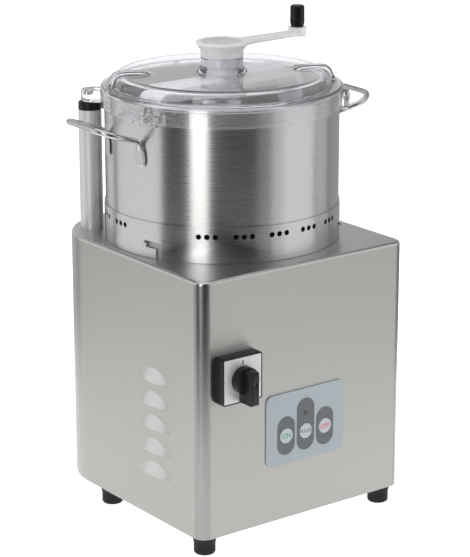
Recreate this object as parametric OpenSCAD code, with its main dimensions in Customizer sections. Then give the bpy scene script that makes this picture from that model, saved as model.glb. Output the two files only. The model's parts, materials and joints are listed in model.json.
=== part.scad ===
// Bench-top vertical food cutter with a stainless bowl, a clear lid and a hand-turned wall scraper.
// Millimetres, +Z up, standing on Z = 0, the control panel faces -Y.

/* [Housing] */
// Distance from the bowl out to a side of the housing
side_margin = 9.5; // [6:0.5:20]
// Distance from the bowl out to the front and the back of the housing
end_margin = 19.5; // [14:0.5:36]
// Height of the housing above its feet
housing_h = 268; // [255:1:300]
// Thickness of the sheet steel
sheet = 1.5; // [1:0.1:2]
// Radius of the two upright edges at the front
front_corner_r = 13; // [9:0.5:18]
// Radius of the two upright edges at the back as a share of the bowl's radius
rear_corner_share = 0.62; // [0.52:0.01:0.68]
// Radius of the bend that runs round the top
top_bend_r = 4; // [3:0.5:6]
// Width of the inward flange that carries the base plate
flange_w = 14; // [10:1:18]

/* [Feet] */
// Height of the rubber feet
foot_h = 20; // [16:1:26]
// Radius of a foot where it meets the base plate
foot_top_r = 13; // [11:0.5:14]
// Radius of a foot near the floor
foot_low_r = 11; // [9:0.5:11]
// Distance from a side of the housing to the centre of a foot
foot_side_inset = 16; // [15:0.5:24]
// Distance from the front of the housing to the front feet
foot_front_inset = 16.7; // [15:0.1:24]
// Distance from the front feet back to the rear feet
foot_spacing = 166; // [140:1:176]

/* [Louvres] */
// Louvres on each side of the housing
louvre_count = 5; // [3:1:6]
// Width of a louvre along its open lower edge
louvre_w = 53; // [40:1:60]
// Height of a louvre
louvre_h = 13; // [10:0.5:16]
// How far the open edge stands out from the side
louvre_out = 6; // [4:0.5:8]
// Distance between two louvres
louvre_pitch = 25; // [20:0.5:30]
// Height of the lowest open edge above the feet
louvre_rise = 48; // [35:1:60]
// Distance from the front of the housing to the middle of the louvres
louvre_set_back = 80.5; // [70:0.5:110]

/* [Main switch] */
// Side length of the square switch body
switch_side = 48; // [44:1:54]
// How far the switch body stands out from the panel
switch_depth = 13.7; // [10:0.1:18]
// Distance from the left side of the housing to the switch axis
switch_inset = 41; // [38:0.5:60]
// Height of the switch axis above the feet
switch_rise = 167; // [150:1:185]
// Width of the pointer bar on the knob
pointer_w = 9; // [7:0.5:11]
// How far the pointer bar stands out from the switch plate
pointer_out = 21.2; // [16:0.1:26]
// Length of the pointer bar above the axis
pointer_up = 12; // [10:0.5:16]
// Length of the pointer bar below the axis
pointer_down = 22.5; // [18:0.5:24]
// Radius of the round base of the knob
knob_base_r = 14; // [12:0.5:17]

/* [Keypad] */
// Width of the control panel
keypad_w = 100; // [90:1:110]
// Height of the control panel
keypad_h = 76; // [70:1:84]
// Thickness of the control panel
keypad_t = 1.3; // [1:0.1:2]
// Corner radius of the control panel
keypad_corner_r = 8; // [4:0.5:12]
// Height of the lower edge of the control panel above the feet
keypad_rise = 59.5; // [50:0.5:70]
// Distance between two buttons
button_pitch = 25; // [24:0.5:27]
// Diameter of a button
button_d = 16.4; // [13:0.2:18]
// Travel of a button
button_travel = 0.6; // [0.4:0.1:0.8]
// Width of the raised field round a button
field_w = 22; // [20:0.5:23]
// Height of the two outer fields
field_h = 40.7; // [36:0.1:45]
// Height of the middle field, which also holds the lamp
middle_field_h = 55.5; // [50:0.1:60]
// Thickness of a raised field
field_t = 0.4; // [0.3:0.1:0.8]
// Diameter of the lamp
lamp_d = 5; // [3:0.5:6]

/* [Post] */
// Diameter of the sensor post
post_d = 24; // [20:1:26]
// Wall of the sensor post
post_wall = 2.5; // [2:0.5:4]
// Gap between the post and the lid
post_gap = 1.8; // [0.6:0.1:5]
// Plan angle of the post about the bowl axis
post_angle = 134.8; // [130:0.1:140]
// Height of the black cap on the post
post_cap_h = 9; // [6:0.5:14]

/* [Bowl] */
// Outside radius of the bowl
bowl_r = 120.5; // [116:0.5:124]
// Wall thickness of the bowl
bowl_wall = 1.2; // [1:0.1:2]
// Depth of the bowl from rim to floor
bowl_depth = 122.7; // [116:0.1:140]
// Height of the bowl floor above the housing
floor_rise = 32; // [30:0.5:36]
// Radius between the floor and the wall
bowl_corner_r = 5; // [3:0.5:6]
// Radius of the rolled bead round the rim
rim_bead_r = 1.9; // [1.4:0.1:2.2]
// Height of the skirt that carries the bowl
skirt_h = 37; // [36:0.5:42]
// Wall thickness of the skirt
skirt_wall = 1.4; // [1:0.1:2]
// Diameter of a hole in the skirt
skirt_hole_d = 5.5; // [4:0.1:6]
// Height of the hole row above the housing
skirt_hole_rise = 27.5; // [26:0.5:29]
// Outside radius of the sleeve in the middle of the bowl
sleeve_r = 14; // [13:0.5:15]
// Wall thickness of the sleeve
sleeve_wall = 1.5; // [1:0.1:2]
// Height of the sleeve above the bowl floor
sleeve_h = 76; // [60:1:80]

/* [Bayonet] */
// Diameter of a locking pin
pin_d = 4.8; // [4:0.1:5]
// Height of the locking pins above the housing
pin_rise = 14; // [12:0.5:16]
// How far a pin stands out from the skirt
pin_out = 2.6; // [1:0.1:4]
// Plan angle of the first pin
pin_angle = -165; // [-170:1:-160]
// Angle that the bowl turns through between locked and free
lock_turn = 7.2; // [6:0.2:9]
// Height and width of the slot that a pin runs in
slot_w = 6.8; // [6.6:0.1:7.6]
// Radius of the round end of the slot
slot_end_r = 3.7; // [3.4:0.1:4]
// Rise of the slot from its corner to its round end
slot_climb = 1.2; // [0:0.1:1.4]

/* [Bowl handles] */
// Diameter of the handle rod
rod_d = 6; // [5:0.5:7]
// Plan angle of the left handle
handle_angle = 177; // [170:1:184]
// Half the distance between the two ends of a handle on the bowl
handle_foot_half = 32; // [26:1:34]
// Half the width of a handle across its outer corners
handle_half_w = 39.3; // [38:0.1:44]
// Length of a handle from the wall to its outer bar, along its own plane
handle_reach = 50; // [44:1:56]
// Radius of the two outer corners
handle_corner_r = 20; // [14:0.5:24]
// Upward tilt of a handle
handle_tilt = 22.8; // [10:0.1:26]
// Height of the handle ends above the bowl floor
handle_rise = 82; // [60:1:86]
// Width of the flattened end of the rod
pad_w = 14.7; // [10:0.1:16]
// Height of the flattened end of the rod
pad_h = 18; // [12:0.5:24]
// Thickness of the flattened end of the rod
pad_t = 2.4; // [1.6:0.1:3]

/* [Lid] */
// Gap between the rolled rim and the inside of the lid skirt
lid_rim_gap = 0.6; // [0.4:0.1:1]
// Wall thickness of the lid skirt
lid_skirt_wall = 2; // [1.6:0.1:3]
// Height of the lid skirt
lid_skirt_h = 21; // [16:0.5:24]
// Thickness of the lid
lid_t = 3; // [2.4:0.1:3.4]
// Radius of the outer edge of the lid
lid_edge_r = 3; // [2:0.5:4]
// Width of the flat flange round the raised middle
lid_flange_w = 12.8; // [11:0.1:16]
// Height of the raised middle above the flange
lid_step_h = 12; // [10:0.5:16]
// Radius of the edge of the raised middle
lid_crown_r = 9; // [6:0.5:9.5]
// Outside radius of the neck
neck_r = 21.5; // [20.5:0.1:24]
// Wall thickness of the neck
neck_wall = 2.9; // [2.4:0.1:3.4]
// Height of the neck above the lid
neck_h = 14.7; // [12:0.1:20]
// Thickness of the bead round the root of the neck
root_t = 3.3; // [2:0.1:5]
// Height of the bead round the root of the neck
root_h = 5.5; // [4:0.5:8]
// Plan angle of the first grip bump
bump_angle = 154; // [145:1:165]
// Width of a grip bump
bump_w = 19; // [16:0.5:24]
// Height of a grip bump above the lid
bump_h = 3.5; // [2.5:0.1:5]
// Length of a grip bump from its inner end to the edge of the raised middle
bump_len = 38; // [30:1:44]
// Plan angle of the rib below the lid
rib_angle = -114; // [-120:1:-100]
// Thickness of the rib
rib_t = 1.6; // [1.2:0.1:2.4]
// Plan angle of the first small lug
lug_angle = -163; // [-168:1:-158]
// Width of a small lug
lug_w = 32; // [28:1:36]
// How far a small lug stands out from the lid skirt
lug_out = 5.9; // [5:0.1:8]
// Height of the lugs
lug_h = 11.5; // [9:0.5:14]
// How far the long lug reaches past the post axis
long_lug_past = 9; // [7:0.5:11]

/* [Crank] */
// Radius of the rim of the feed cup
cup_r = 27; // [25:0.5:30]
// Height of the feed cup above the neck
cup_h = 16.3; // [14:0.1:20]
// Thickness of the rim
cup_lip = 2.4; // [1.6:0.1:3]
// Radius of the mouth inside the rim
mouth_r = 20.7; // [19:0.1:22]
// Outside radius of the tube below the cup
tube_r = 15.5; // [14.5:0.1:16]
// Wall thickness of the tube
tube_wall = 2.3; // [1.6:0.1:3]
// Distance from the crank axis to the knob axis
crank_arm = 102; // [85:1:110]
// Plan angle of the crank at rest
crank_angle = 3; // [-20:1:20]
// Width of the arm at the cup
arm_root_w = 26; // [20:0.5:32]
// Width of the arm at the knob
arm_tip_w = 17; // [12:0.5:19]
// Thickness of the arm
arm_t = 5; // [4:0.5:6]
// Diameter of the boss below the knob
boss_d = 19.6; // [18:0.2:24]
// Height of the boss
boss_h = 9; // [7:0.5:12]
// Diameter of the knob
knob_d = 16.2; // [14:0.2:20]
// Height of the knob
knob_h = 22.6; // [18:0.2:30]
// Diameter of the pin inside the knob
knob_pin_d = 8; // [6:0.5:9]

/* [Scraper] */
// Width of a scraper arm
scraper_w = 33; // [28:1:36]
// Width that lies behind the arm's centre line
scraper_back_w = 8; // [6:0.5:12]
// Thickness of the scraper
scraper_t = 3; // [2.4:0.1:4]
// Depth of the stiffening flanges of an arm
scraper_flange_h = 12; // [8:0.5:14]
// Radius of the bend from the arm to the paddle
scraper_bend_r = 18.5; // [16:0.5:22]
// Outward lean of the paddle
paddle_lean = 11; // [6:0.5:12]
// Gap between the paddle and the wall of the bowl
paddle_gap = 2; // [1:0.1:4]
// Depth of the scraper from the top of its arms to the lower end of its paddles
paddle_drop = 80; // [60:1:84]
// Wall thickness of the scraper hub
scraper_hub_wall = 2.4; // [2:0.1:4]
// Height of the scraper hub
scraper_hub_h = 20.5; // [16:0.5:22]

/* [Blades] */
// Diameter of the drive shaft
shaft_d = 18; // [16:0.5:19]
// Outside radius of the blade hub
hub_r = 19; // [18:0.5:22]
// Gap between the tips of the blades and the wall of the bowl
blade_gap = 11.3; // [8:0.1:28]
// Thickness of a blade
blade_t = 2; // [1.5:0.1:3]
// Width of a blade at its widest place
blade_w = 32; // [24:1:38]
// Height of the lower blade above the bowl floor
blade_rise = 5; // [4:0.5:10]
// Height of the upper blade above the lower one
blade_spacing = 26; // [18:0.5:34]
// Radius of the disc on top of the hub
disc_r = 20; // [19:0.5:24]
// Thickness of the disc on top of the hub
disc_t = 5; // [3:0.5:7]
// Radius of the domed nut on the shaft
nut_r = 6.5; // [5:0.5:8]

/* [Motor] */
// Radius of the motor body
motor_r = 58; // [50:1:64]
// Length of the motor body
motor_h = 120; // [100:1:130]
// Depth of a cooling fin
fin_depth = 5; // [3:0.5:7]
// Cooling fins round the motor
fin_count = 24; // [16:1:32]
// Thickness of the motor flange
motor_flange_t = 7; // [5:0.5:10]
// Radius of the motor flange
motor_flange_r = 74; // [70:1:80]
// Radius of the screw circle in the motor flange
screw_circle_r = 67; // [66:0.5:69]
// Radius of the cooling fan
fan_r = 50; // [42:1:56]

/* [Cable gland] */
// Diameter of the cable bore
gland_bore_d = 10; // [7:0.5:11]
// How far the gland stands out from the back
gland_out = 25; // [20:0.5:30]
// Height of the gland above the feet
gland_rise = 40; // [30:1:60]
// Sideways distance of the gland from the middle
gland_offset = 30; // [0:1:40]

/* [Fits] */
// Gap between pieces that rest or slide on each other
rest_gap = 0.3; // [0.2:0.05:0.5]
// Radial gap of a running fit
run_gap = 0.05; // [0.03:0.01:0.08]
// Gap between pieces that are joined for good
join_gap = 0.1; // [0.05:0.01:0.15]

/* [Hidden] */
$fn = 96;

// Cuts run past the faces that they open by this much
over = 1;
// Fine round parts and the children of a hull
fine_fn = 24;

// Colours
steel = [0.74, 0.73, 0.71];
satin = [0.80, 0.81, 0.82];
cast = [0.62, 0.64, 0.66];
black = [0.09, 0.09, 0.10];
white = [0.95, 0.95, 0.96];
clear = [0.86, 0.86, 0.95, 0.45];
panel_grey = [0.67, 0.70, 0.73];
field_grey = [0.40, 0.41, 0.42];
pulse_grey = [0.28, 0.29, 0.30];
board_green = [0.10, 0.38, 0.20];
copper = [0.72, 0.42, 0.26];

// Plan of the housing, which follows the bowl
housing_w = 2 * (bowl_r + side_margin);
housing_d = 2 * (bowl_r + end_margin);
rear_corner_r = bowl_r * rear_corner_share;

// Heights, counted up from the floor
housing_top = foot_h + housing_h;
skirt_top = housing_top + skirt_h;
floor_z = housing_top + floor_rise;
rim_z = floor_z + bowl_depth;
lid_seat_z = rim_z + rest_gap;
flange_z = lid_seat_z + lid_t;
crown_z = flange_z + lid_step_h;
neck_z = crown_z + neck_h;
cup_seat_z = neck_z + rest_gap;
cup_z = cup_seat_z + cup_h;
lid_low_z = flange_z - lid_skirt_h;
lug_drop = 1;
lug_z = lid_low_z - lug_drop;

// The bowl axis stands so that the whole cutter is centred on the origin from front to back
front_reach = housing_d / 2 + switch_depth + pointer_out;
rear_reach = housing_d / 2 + gland_out;
axis_y = (front_reach - rear_reach) / 2;

// Rings round the bowl axis
bowl_in_r = bowl_r - bowl_wall;
skirt_out_r = bowl_r + skirt_wall;
collar_gap = 0.5;
collar_r = bowl_r - collar_gap;
bead_orbit = bowl_r - bowl_wall / 2;
bead_out_r = bead_orbit + rim_bead_r;
lid_in_r = bead_out_r + lid_rim_gap;
lid_out_r = lid_in_r + lid_skirt_wall;
crown_r = lid_out_r - lid_flange_w;
neck_in_r = neck_r - neck_wall;
post_orbit = lid_out_r + post_gap + post_d / 2;
blade_reach = bowl_in_r - blade_gap;

// Housing
front_y = -housing_d / 2;
back_y = housing_d / 2;
plate_top = foot_h + sheet;
flange_top = plate_top + sheet;

least_corner_r = 1;

module at_axis() {
    translate([0, axis_y, 0]) children();
}

module tube(outer, inner, low, high) {
    translate([0, 0, low]) difference() {
        cylinder(r = outer, h = high - low);
        translate([0, 0, -over]) cylinder(r = inner, h = high - low + 2 * over);
    }
}

module disc(radius, low, high) {
    translate([0, 0, low]) cylinder(r = radius, h = high - low);
}

// Rod that lies along Y from y = near to y = far
module rod_y(radius, near, far) {
    translate([0, near, 0]) rotate([-90, 0, 0]) cylinder(r = radius, h = far - near);
}

// Arc as a list of points
function arc(centre, radius, from, to, steps) = [
    for (i = [0 : steps])
        let (a = from + (to - from) * i / steps)
        [centre[0] + radius * cos(a), centre[1] + radius * sin(a)]
];

module rounded_rect(w, h, radius) {
    square([w - 2 * radius, h], center = true);
    square([w, h - 2 * radius], center = true);
    for (x = [-1, 1], y = [-1, 1])
        translate([x * (w / 2 - radius), y * (h / 2 - radius)]) circle(r = radius);
}

module capsule_2d(w, h) {
    square([w, h - w], center = true);
    for (y = [-1, 1])
        translate([0, y * (h - w) / 2]) circle(r = w / 2);
}

// Upright plate on a plane of constant y, drawn as seen from the front, from y = near to y = far
module front_plate(near, far) {
    translate([0, far, 0]) rotate([90, 0, 0]) linear_extrude(height = far - near) children();
}

// Housing outline seen from above, drawn in by an inset
module outline(inset) {
    w = housing_w / 2 - inset;
    d = housing_d / 2 - inset;
    rf = max(front_corner_r - inset, least_corner_r);
    rr = rear_corner_r - inset;
    translate([rf - w, -d]) square([2 * (w - rf), 2 * d - rr]);
    translate([-w, rf - d]) square([2 * w, 2 * d - rf - rr]);
    translate([rr - w, 0]) square([2 * (w - rr), d]);
    for (side = [-1, 1]) {
        translate([side * (w - rf), rf - d]) circle(r = rf);
        translate([side * (w - rr), d - rr]) circle(r = rr);
    }
}

// Half section of the housing, from its middle out to one side, with the bend at the top
module half_section(reach, bend, low, high) {
    translate([0, low]) square([reach, high - bend - low]);
    translate([0, low]) square([reach - bend, high - low]);
    translate([reach - bend, high - bend]) circle(r = bend);
}

// Solid of the housing's form, drawn in by an inset
module housing_form(inset, low) {
    w = housing_w / 2 - inset;
    d = housing_d / 2 - inset;
    rf = front_corner_r - inset;
    rr = rear_corner_r - inset;
    bend = top_bend_r - inset;
    high = housing_top - inset;
    for (side = [-1, 1]) {
        translate([side * (w - rf), rf - d, 0])
            rotate_extrude() half_section(rf, bend, low, high);
        translate([side * (w - rr), d - rr, 0])
            rotate_extrude() half_section(rr, bend, low, high);
    }
    translate([0, d - rr, 0]) rotate([90, 0, 0]) linear_extrude(height = 2 * d - rf - rr) {
        half_section(w, bend, low, high);
        mirror([1, 0]) half_section(w, bend, low, high);
    }
    translate([rf - w, 0, 0]) rotate([90, 0, 90]) linear_extrude(height = 2 * (w - rf))
        mirror([1, 0]) half_section(d, bend, low, high);
    translate([rr - w, 0, 0]) rotate([90, 0, 90]) linear_extrude(height = 2 * (w - rr))
        half_section(d, bend, low, high);
}

// Louvres: a leaning cylinder meets the side in a crescent
louvre_lean = atan(louvre_out / louvre_h);
louvre_sag = louvre_out * cos(louvre_lean);
louvre_bulge_r = ((louvre_w / 2) ^ 2 + louvre_sag ^ 2) / (2 * louvre_sag);
louvre_y = louvre_set_back - housing_d / 2;

module louvre_cylinder(wall) {
    translate([-housing_w / 2 - louvre_out, louvre_y, 0]) rotate([0, louvre_lean, 0])
        translate([louvre_bulge_r, 0, 0])
            cylinder(r = louvre_bulge_r - wall, h = 4 * louvre_h, center = true);
}

module louvre_window(outside, inside) {
    translate([-housing_w / 2 - outside, louvre_y - louvre_w, 0])
        cube([outside + inside, 2 * louvre_w, 2 * louvre_h]);
}

module louvre_hood() {
    difference() {
        intersection() {
            louvre_cylinder(0);
            louvre_window(louvre_out + over, sheet / 2);
        }
        louvre_cylinder(sheet);
    }
}

module louvre_opening() {
    intersection() {
        louvre_cylinder(sheet);
        louvre_window(0, sheet + over);
    }
}

module at_louvres() {
    for (side = [0, 1], i = [0 : louvre_count - 1])
        mirror([side, 0, 0]) translate([0, 0, foot_h + louvre_rise + i * louvre_pitch]) children();
}

// Places on the front panel
switch_x = switch_inset - housing_w / 2;
switch_z = foot_h + switch_rise;
switch_neck_r = 11;
keypad_low = foot_h + keypad_rise;
keypad_z = keypad_low + keypad_h / 2;
field_margin = 10;
field_low = keypad_low + field_margin;
button_z = field_low + field_h / 2;
lamp_z = field_low + middle_field_h - field_w / 2 - field_margin / 2;
button_x = [-button_pitch, 0, button_pitch];

// Places in the top and in the back
shaft_hole_gap = 6;
shaft_hole_r = shaft_d / 2 + shaft_hole_gap;
post_stud_r = 7;
gland_thread_r = 8;
gland_z = foot_h + gland_rise;
flange_screw_r = 2.5;
flange_screw_angles = [45, 135, 225, 315];

module at_post() {
    rotate([0, 0, post_angle]) translate([post_orbit, 0, 0]) children();
}

module at_flange_screws() {
    for (a = flange_screw_angles)
        rotate([0, 0, a]) translate([screw_circle_r, 0, 0]) children();
}

module housing() {
    color(steel) at_axis() difference() {
        union() {
            difference() {
                housing_form(0, foot_h);
                housing_form(sheet, foot_h - over);
            }
            at_louvres() louvre_hood();
            translate([0, 0, plate_top]) linear_extrude(height = sheet) difference() {
                outline(sheet / 2);
                outline(flange_w);
            }
        }
        at_louvres() louvre_opening();
        at_feet() disc(foot_screw_r + join_gap, plate_top - over / 2, flange_top + over);
        disc(shaft_hole_r, housing_top - 2 * sheet, housing_top + over);
        at_flange_screws() disc(flange_screw_r + join_gap, housing_top - 2 * sheet, housing_top + over);
        at_post() disc(post_stud_r + join_gap, housing_top - 2 * sheet, housing_top + over);
        translate([switch_x, 0, switch_z])
            rod_y(switch_neck_r + join_gap, front_y - over, front_y + 2 * sheet);
        for (x = button_x)
            translate([x, 0, button_z]) rod_y(button_d / 2, front_y - over, front_y + 2 * sheet);
        translate([0, 0, lamp_z]) rod_y(lamp_d / 2 + join_gap, front_y - over, front_y + 2 * sheet);
        translate([gland_offset, 0, gland_z])
            rod_y(gland_thread_r + join_gap, back_y - 2 * sheet, back_y + over);
    }
}

// Base plate with rows of vent slots and one hole for each foot
foot_screw_r = 3;
foot_x = housing_w / 2 - foot_side_inset;
foot_front_y = foot_front_inset - housing_d / 2;
foot_rear_y = foot_front_y + foot_spacing;
vent_slot_w = 4;
vent_slot_l = 50;
vent_pitch = 11;
vent_rows = 11;
vent_gap = 20;

module at_feet() {
    for (x = [-foot_x, foot_x], y = [foot_front_y, foot_rear_y])
        translate([x, y, 0]) children();
}

module base_plate() {
    color(steel) at_axis() translate([0, 0, foot_h]) difference() {
        linear_extrude(height = sheet) difference() {
            outline(sheet + join_gap);
            for (side = [-1, 1], i = [0 : vent_rows - 1])
                translate([side * (vent_slot_l + vent_gap) / 2, (i - (vent_rows - 1) / 2) * vent_pitch])
                    rotate([0, 0, 90]) capsule_2d(vent_slot_w, vent_slot_l);
        }
        at_feet() translate([0, 0, -over]) cylinder(r = foot_screw_r + join_gap, h = sheet + 2 * over);
    }
}

// Rubber foot: a tapered top, a short cylinder, a rounded bottom and a recess for its screw
foot_taper_share = 0.45;
foot_round_r = 2.5;
foot_recess_r = 5.5;
foot_recess_h = 8;
foot_screw_head_h = 3;

module foot() {
    taper_h = foot_h * foot_taper_share;
    color(black) difference() {
        rotate_extrude() {
            polygon([
                [0, foot_h - taper_h], [foot_low_r, foot_h - taper_h],
                [foot_top_r, foot_h], [0, foot_h]
            ]);
            translate([0, foot_round_r]) square([foot_low_r, foot_h - taper_h - foot_round_r]);
            square([foot_low_r - foot_round_r, foot_h - taper_h]);
            translate([foot_low_r - foot_round_r, foot_round_r]) circle(r = foot_round_r);
        }
        disc(foot_recess_r, -over, foot_recess_h);
        disc(foot_screw_r + join_gap, -over, foot_h + over);
    }
}

module foot_screws() {
    color(satin) at_axis() at_feet() {
        disc(foot_screw_r, foot_recess_h, flange_top);
        disc(foot_recess_r - rest_gap, foot_recess_h - foot_screw_head_h, foot_recess_h);
    }
}

// Motor, hung below the top of the housing
motor_top_z = housing_top - sheet;
motor_flange_z = motor_top_z - motor_flange_t;
motor_low_z = motor_flange_z - motor_h;
endcap_h = 14;
endcap_z = motor_low_z - endcap_h;
motor_wall = 8;
stator_gap = 0.6;
armature_share = 0.6;
armature_r = motor_r * armature_share;
armature_margin = 12;
bearing_wall = 11;
bearing_r = shaft_d / 2 + bearing_wall;
fan_h = 12;
fan_gap = 4;
fan_z = endcap_z - fan_gap - fan_h;
fan_hub_r = 16;
fan_blades = 9;
fan_blade_t = 1.6;
fan_plate_t = 2;
fin_t = 2;

module motor_flange() {
    color(cast) at_axis() difference() {
        disc(motor_flange_r, motor_flange_z, motor_top_z);
        disc(bearing_r, motor_flange_z - over, motor_top_z + over);
        at_flange_screws() disc(flange_screw_r, motor_flange_z - over, motor_top_z + over);
    }
}

module motor_can() {
    color(cast) at_axis() difference() {
        union() {
            disc(motor_r, motor_low_z, motor_flange_z);
            for (i = [0 : fin_count - 1])
                rotate([0, 0, i * 360 / fin_count])
                    translate([motor_r - over, -fin_t / 2, motor_low_z])
                        cube([fin_depth + over, fin_t, motor_h]);
        }
        disc(armature_r + stator_gap, motor_low_z - over, motor_flange_z + over);
        for (low = [motor_low_z - over, motor_flange_z - armature_margin])
            disc(motor_r - motor_wall, low, low + armature_margin + over);
    }
}

module motor_endcap() {
    color(cast) at_axis() difference() {
        union() {
            disc(motor_r, endcap_z + endcap_h / 2, motor_low_z);
            disc(motor_r - motor_wall, endcap_z, motor_low_z);
        }
        disc(shaft_d / 2 + run_gap, endcap_z - over, motor_low_z + over);
        disc(bearing_r, endcap_z + endcap_h / 2, motor_low_z + over);
    }
}

module motor_bearing() {
    color(satin) at_axis() tube(bearing_r - join_gap, shaft_d / 2 + run_gap, motor_flange_z, motor_top_z);
}

module motor_armature() {
    color(copper) at_axis()
        tube(
            armature_r, shaft_d / 2 + join_gap,
            motor_low_z + armature_margin, motor_flange_z - armature_margin
        );
}

module cooling_fan() {
    color(black) at_axis() difference() {
        union() {
            disc(fan_r, fan_z + fan_h - fan_plate_t, fan_z + fan_h);
            disc(fan_hub_r, fan_z, fan_z + fan_h);
            for (i = [0 : fan_blades - 1])
                rotate([0, 0, i * 360 / fan_blades])
                    translate([fan_hub_r - over, -fan_blade_t / 2, fan_z])
                        cube([fan_r - fan_hub_r, fan_blade_t, fan_h - fan_plate_t / 2]);
        }
        disc(shaft_d / 2 + join_gap, fan_z - over, fan_z + fan_h + over);
    }
}

// Seat of the bowl: an inverted pan with a raised boss round the shaft
collar_over_pin = 8;
collar_wall = 3;
collar_top_z = housing_top + pin_rise + collar_over_pin;
collar_boss_wall = 7;
collar_boss_h = 5;
seal_wall = 5;
seal_r = shaft_d / 2 + seal_wall;
pin_root = 4;
pin_head_share = 1.6;
pin_z = housing_top + pin_rise;
third = 120;

module flange_screws() {
    color(satin) at_axis() at_flange_screws() {
        disc(flange_screw_r, motor_flange_z, housing_top);
        disc(2 * flange_screw_r, housing_top, housing_top + 2 * flange_screw_r);
    }
}

module bowl_collar() {
    color(cast) at_axis() difference() {
        union() {
            disc(collar_r, housing_top, collar_top_z);
            disc(seal_r + collar_boss_wall, housing_top, collar_top_z + collar_boss_h);
        }
        disc(collar_r - collar_wall, housing_top - over, collar_top_z - collar_wall);
        disc(seal_r, housing_top - over, collar_top_z + collar_boss_h + over);
        for (i = [0 : 2])
            rotate([0, 0, pin_angle + i * third]) translate([collar_r - collar_wall - over, 0, pin_z])
                rotate([0, 90, 0]) cylinder(d = pin_d + 2 * join_gap, h = collar_wall + 2 * over);
    }
}

// Locking pin: a headed stud through the wall of the seat
module collar_pin(angle) {
    color(satin) at_axis() rotate([0, 0, angle]) {
        translate([collar_r - collar_wall - pin_root, 0, pin_z]) rotate([0, 90, 0]) {
            cylinder(d = pin_d, h = pin_root + collar_wall + collar_gap + skirt_wall + pin_out);
            cylinder(d = pin_d * pin_head_share, h = pin_root - join_gap);
        }
    }
}

module shaft_seal() {
    color(black) at_axis()
        tube(
            seal_r - join_gap, shaft_d / 2 + run_gap,
            collar_top_z - collar_wall, collar_top_z + collar_boss_h
        );
}

// Sensor post beside the bowl
post_cap_z = lug_z - 2 * rest_gap - post_cap_h;
post_plug_h = 12;
post_cap_round = 2.5;
post_foot_h = 6;
sensor_r = 4;
sensor_h = 30;
post_nut_r = post_d / 2 + over;

module post_tube() {
    color(satin) at_axis() at_post() {
        tube(post_d / 2, post_d / 2 - post_wall, housing_top, post_cap_z);
        disc(post_d / 2 - post_wall / 2, housing_top, housing_top + post_foot_h);
        disc(post_stud_r, motor_flange_z - post_foot_h, housing_top + over);
    }
}

module post_cap() {
    color(black) at_axis() at_post() translate([0, 0, post_cap_z]) {
        rotate_extrude() {
            square([post_d / 2, post_cap_h - post_cap_round]);
            square([post_d / 2 - post_cap_round, post_cap_h]);
            translate([post_d / 2 - post_cap_round, post_cap_h - post_cap_round]) circle(r = post_cap_round);
        }
        difference() {
            translate([0, 0, -post_plug_h]) cylinder(r = post_d / 2 - post_wall - join_gap, h = post_plug_h);
            translate([0, 0, -post_plug_h - over]) cylinder(r = sensor_r + join_gap, h = post_plug_h + over);
        }
    }
}

module post_sensor() {
    color(board_green) at_axis() at_post() disc(sensor_r, post_cap_z - sensor_h, post_cap_z);
}

module post_nut() {
    color(satin) at_axis() at_post() difference() {
        translate([0, 0, motor_top_z - post_foot_h]) cylinder(r = post_nut_r, h = post_foot_h, $fn = 6);
        disc(post_stud_r + join_gap, motor_top_z - post_foot_h - over, motor_top_z + over);
    }
}

// Rotary main switch on the front
switch_plate_t = 1;
switch_plate_margin = 1.5;
switch_plate_side = switch_side - 2 * switch_plate_margin;
switch_corner_r = 2;
switch_rear_side = 40;
switch_rear_h = 34;
switch_face_y = front_y - switch_depth;
switch_shaft_r = 3;
knob_base_h = 8;
knob_gap = 0.4;
knob_z = switch_face_y - pointer_out;
screw_head_r = 2.2;
screw_head_h = 2;
pointer_chamfer = 2;

module at_switch() {
    at_axis() translate([switch_x, 0, switch_z]) children();
}

module switch_block() {
    color(black) at_switch() difference() {
        union() {
            front_plate(switch_face_y, front_y)
                rounded_rect(switch_side, switch_side, switch_corner_r);
            rod_y(switch_neck_r, front_y - over, front_y + sheet + over);
            front_plate(front_y + sheet, front_y + sheet + switch_rear_h)
                rounded_rect(switch_rear_side, switch_rear_side, switch_corner_r);
        }
        front_plate(switch_face_y - over, switch_face_y + switch_plate_t)
            square(switch_plate_side + join_gap, center = true);
        rod_y(switch_shaft_r + run_gap, switch_face_y - over, front_y + sheet + switch_rear_h / 2);
    }
}

module switch_bezel() {
    color(satin) at_switch() difference() {
        front_plate(switch_face_y, switch_face_y + switch_plate_t)
            square(switch_plate_side, center = true);
        rod_y(switch_shaft_r + rest_gap, switch_face_y - over, switch_face_y + switch_plate_t + over);
    }
}

module switch_knob() {
    color(black) at_switch() difference() {
        union() {
            rod_y(knob_base_r, switch_face_y - knob_gap - knob_base_h, switch_face_y - knob_gap);
            pointer_bar();
        }
        rod_y(switch_shaft_r, knob_z + pointer_out / 2, switch_face_y);
        rod_y(screw_head_r, knob_z - over, knob_z + screw_head_h);
        rod_y(screw_head_r / 2, knob_z, knob_z + pointer_out / 2 + over);
    }
}

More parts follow.
